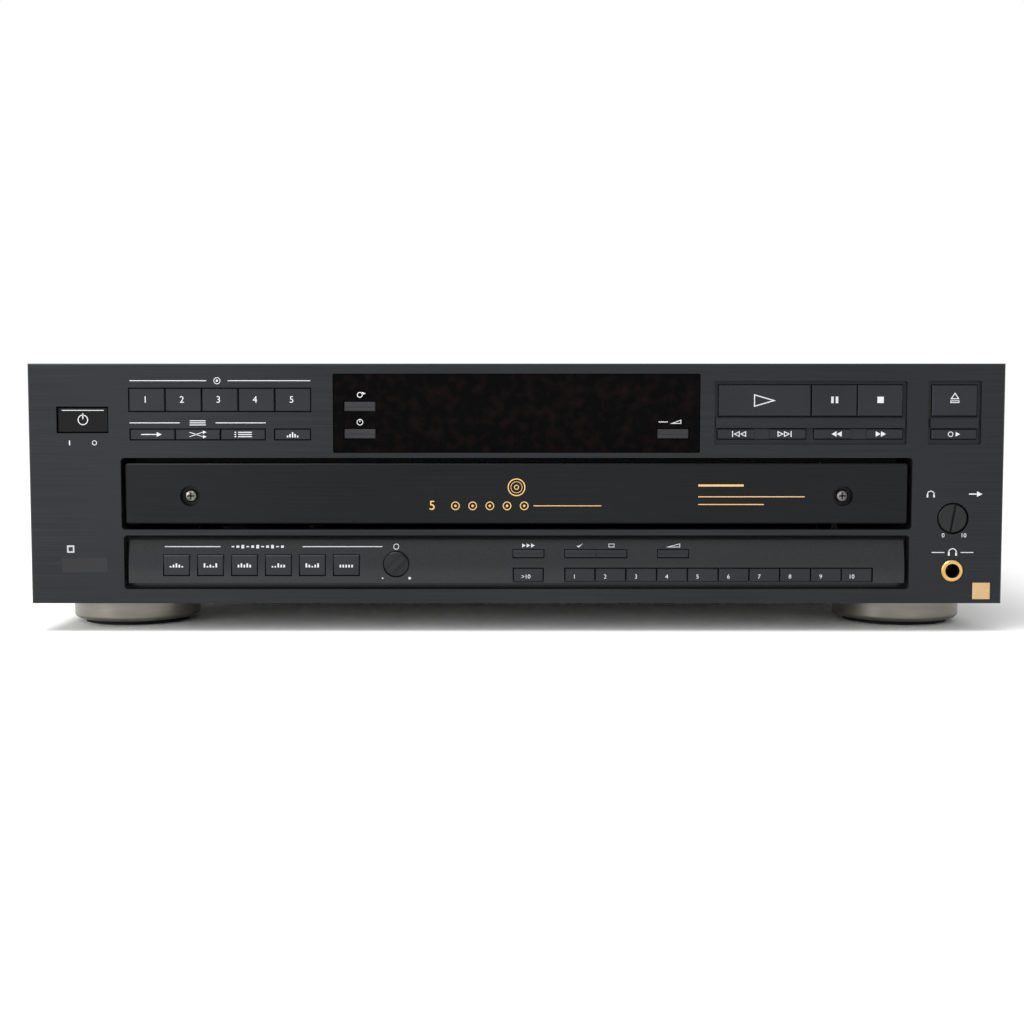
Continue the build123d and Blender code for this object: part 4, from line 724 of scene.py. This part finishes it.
# %% [markdown]
# ## Figures on the table, socket lining, socket rings and shade felt
#
# The places on the table are numbered 1 to 5 in the finger hollows, so the figures turn with it.
# Inside the gilt ring, the headphone socket is lined with black plastic. At the back each phono
# socket sits in a coloured ring, red for the right channel and white for the left. A strip of black
# felt hangs behind the upper edge of the drawer's opening, and a black gauze covers the rear slots
# from inside. Both are painted shade: dark sheets that stop the bright background from showing
# through the drawer's gap.

# %% Figures on the table, socket lining, socket rings and shade felt
HOLLOW_CIRCLE = 138.0
HOLLOW_DEPTH = 2.6
for number in range(1, 6):
    angle = math.radians(90 + 36 + 72 * (number - 1))
    figure = bmesh.new()
    text_into(figure, str(number), 0, 0, 9.0, 0)
    out = Vector((math.cos(angle), math.sin(angle), 0)) * HOLLOW_CIRCLE * MM
    place = Vector((table_x, table_y, table_top - HOLLOW_DEPTH * MM)) + out
    turn = Matrix.Rotation(angle + math.pi / 2, 4, "Z") @ UPWARDS
    bmesh.ops.transform(figure, matrix=Matrix.Translation(place) @ turn, verts=figure.verts)
    new_piece(f"place_figure_{number}", figure, white_ink, "carousel_table")


def tube(name, x, z, y0, y1, inner, outer, material, body):
    """A short tube along Y: a spun rectangle."""
    ring = bmesh.new()
    corners = [(inner, y0), (outer, y0), (outer, y1), (inner, y1)]
    verts = [ring.verts.new((x * MM + r * MM, y, z * MM)) for r, y in corners]
    edges = [ring.edges.new((verts[i], verts[(i + 1) % 4])) for i in range(4)]
    centre_line = (x * MM, 0, z * MM)
    bmesh.ops.spin(
        ring, geom=verts + edges, cent=centre_line, axis=(0, 1, 0), angle=math.tau, steps=32, use_merge=True
    )
    bmesh.ops.remove_doubles(ring, verts=ring.verts, dist=1e-7)
    return new_piece(name, ring, material, body)


jack_front = face_y("headphone_jack")
lining = moulded_plastic("socket_lining_black", "#08080a", "#0d0d0f", 0.5)
depths = (jack_front + 0.9 * MM, jack_front + 19.3 * MM)
tube("headphone_lining", jack_x, jack_z, *depths, 3.12, 3.18, lining, "cabinet")
end_y = jack_front + 19.4 * MM
plate("headphone_socket_end", jack_x, jack_z, 4.4, 4.4, end_y, 0.5, lining, "headphone_jack")
ring_colours = {
    -1: moulded_plastic("left_channel_white", "#c9c9c6", "#dcdcd8", 0.45),
    1: moulded_plastic("right_channel_red", "#8c1414", "#a61d1b", 0.45),
}
BLOCK_PROUD = 3.0 * MM  # of the rear panel
JACK_HALF_PITCH = 7
BLOCK_Z = 78.0
block_face = back + BLOCK_PROUD
for block, middle in (("line", -170.0), ("control", -120.0)):
    for side in (-1, 1):
        for row in (-1, 1):
            name = f"{block}_ring_{'left' if side < 0 else 'right'}_{'lower' if row < 0 else 'upper'}"
            x, z = middle + JACK_HALF_PITCH * side, BLOCK_Z + JACK_HALF_PITCH * row
            tube(name, x, z, block_face, block_face + 0.6 * MM, 4.25, 5.9, ring_colours[side], "cabinet")

FASCIA = 8.0 * MM  # thickness of the front panel
# Painted shade: black sheets behind the drawer's gap and over the rear slots keep the background from
# showing through.
felt = moulded_plastic("shade_felt_black", "#0c0c0d", "#141415", 0.95, grain_mm=0.5, relief_mm=0.2)
OPENING_TOP = 77.6
plate("gap_shade_felt", 0, OPENING_TOP - 0.4, 340, 4.0, panel_y + FASCIA + 0.1 * MM, 0.8, felt, "front_panel")
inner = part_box("rear_panel")[0].y
plate("rear_shade_gauze", 95, 70, 66, 58, inner - 0.6 * MM, 0.5, felt, "rear_panel")

# %% [markdown]
# ## Floor
#
# The object stands on a pale floor, as on a sweep of studio paper. Near the object the paper takes
# the real shadow. Further out it grows lighter to the camera alone, until it meets the background
# without a line, and this adds no light to the object.

# %% Floor
paper, tree, shader, place = start_material("studio_paper", 0.9)
fibre = add(tree, "ShaderNodeTexNoise", {"Scale": 300.0, "Detail": 2.0}, Vector=place)
tone = ramp(tree, fibre.outputs["Fac"], [(0.0, "#f4f4f4"), (1.0, "#fafafa")])
tree.links.new(tone, shader.inputs["Base Color"])
distance = add(tree, "ShaderNodeVectorMath", {"operation": "LENGTH"}, at0=place)
far = {"From Min": 0.5, "From Max": 1.4, "To Min": 0.0, "To Max": 0.3}  # metres, strength
fade = add(tree, "ShaderNodeMapRange", far, Value=distance.outputs["Value"])
seen_by = add(tree, "ShaderNodeLightPath")
to_camera = add(
    tree, "ShaderNodeMath", {"operation": "MULTIPLY"},
    at0=fade.outputs["Result"], at1=seen_by.outputs["Is Camera Ray"],
)
tree.links.new(tone, shader.inputs["Emission Color"])
tree.links.new(to_camera.outputs[0], shader.inputs["Emission Strength"])
sweep = bmesh.new()
HALF_FLOOR = 6.0
bmesh.ops.create_grid(sweep, x_segments=1, y_segments=1, size=HALF_FLOOR)
floor_mesh = bpy.data.meshes.new("floor")
sweep.to_mesh(floor_mesh)
sweep.free()
floor = bpy.data.objects.new("floor", floor_mesh)
floor_mesh.materials.append(paper)
bpy.context.scene.collection.objects.link(floor)

# %% [markdown]
# ## World and lamps
#
# The light is soft and even, at a level where colours come out about as they are written. The world
# lights the object from all round and is white to the camera, to metal and to glass. One wide box
# hangs over the front, and one at the left gives the panel its fall-off from left to right.

# %% World and lamps
OBJECT_LEVEL = 0.8
WHITE_LEVEL = 1.0
scene = bpy.context.scene
world = bpy.data.worlds.new("pale_studio")
scene.world = world
world.use_nodes = True
sky = world.node_tree
background = sky.nodes["Background"]
rays = add(sky, "ShaderNodeLightPath")
direct = add(
    sky, "ShaderNodeMath", {"operation": "MAXIMUM"},
    at0=rays.outputs["Is Camera Ray"], at1=rays.outputs["Is Glossy Ray"],
)
seen = add(
    sky, "ShaderNodeMath", {"operation": "MAXIMUM"},
    at0=direct.outputs[0], at1=rays.outputs["Is Transmission Ray"],
)
levels = {"To Min": OBJECT_LEVEL, "To Max": WHITE_LEVEL}
level = add(sky, "ShaderNodeMapRange", levels, Value=seen.outputs[0])
sky.links.new(level.outputs["Result"], background.inputs["Strength"])
background.inputs["Color"].default_value = (1, 1, 1, 1)


def softbox(name, place, target, width, height, watts):
    """A rectangular area lamp aimed at a point."""
    lamp = bpy.data.lights.new(name, "AREA")
    lamp.shape = "RECTANGLE"
    lamp.size, lamp.size_y = width, height
    lamp.energy = watts
    holder = bpy.data.objects.new(name, lamp)
    holder.location = place
    holder.rotation_euler = (Vector(target) - Vector(place)).to_track_quat("-Z", "Y").to_euler()
    scene.collection.objects.link(holder)


softbox("top_softbox", (-0.35, -0.6, 1.2), (0, -0.15, 0.06), 1.2, 0.5, 15)
softbox("left_softbox", (-1.35, -1.2, 0.55), (0, -0.1, 0.05), 0.6, 0.9, 17)

# %% [markdown]
# ## Camera
#
# The photograph was taken from the front, a little above the middle of the panel and looking down a
# few degrees. Place, tilt and lens were chosen so that the panel's four corners fall where they do
# in the photograph.

# %% Camera
camera_data = bpy.data.cameras.new("camera")
camera_data.lens = 51.0
camera_data.sensor_width = 36.0
camera = bpy.data.objects.new("camera", camera_data)
camera.location = (-0.0020, -0.8325, 0.0955)
camera.rotation_euler = (math.radians(86.26), 0, 0)
scene.collection.objects.link(camera)
scene.camera = camera
scene.view_settings.view_transform = "Standard"
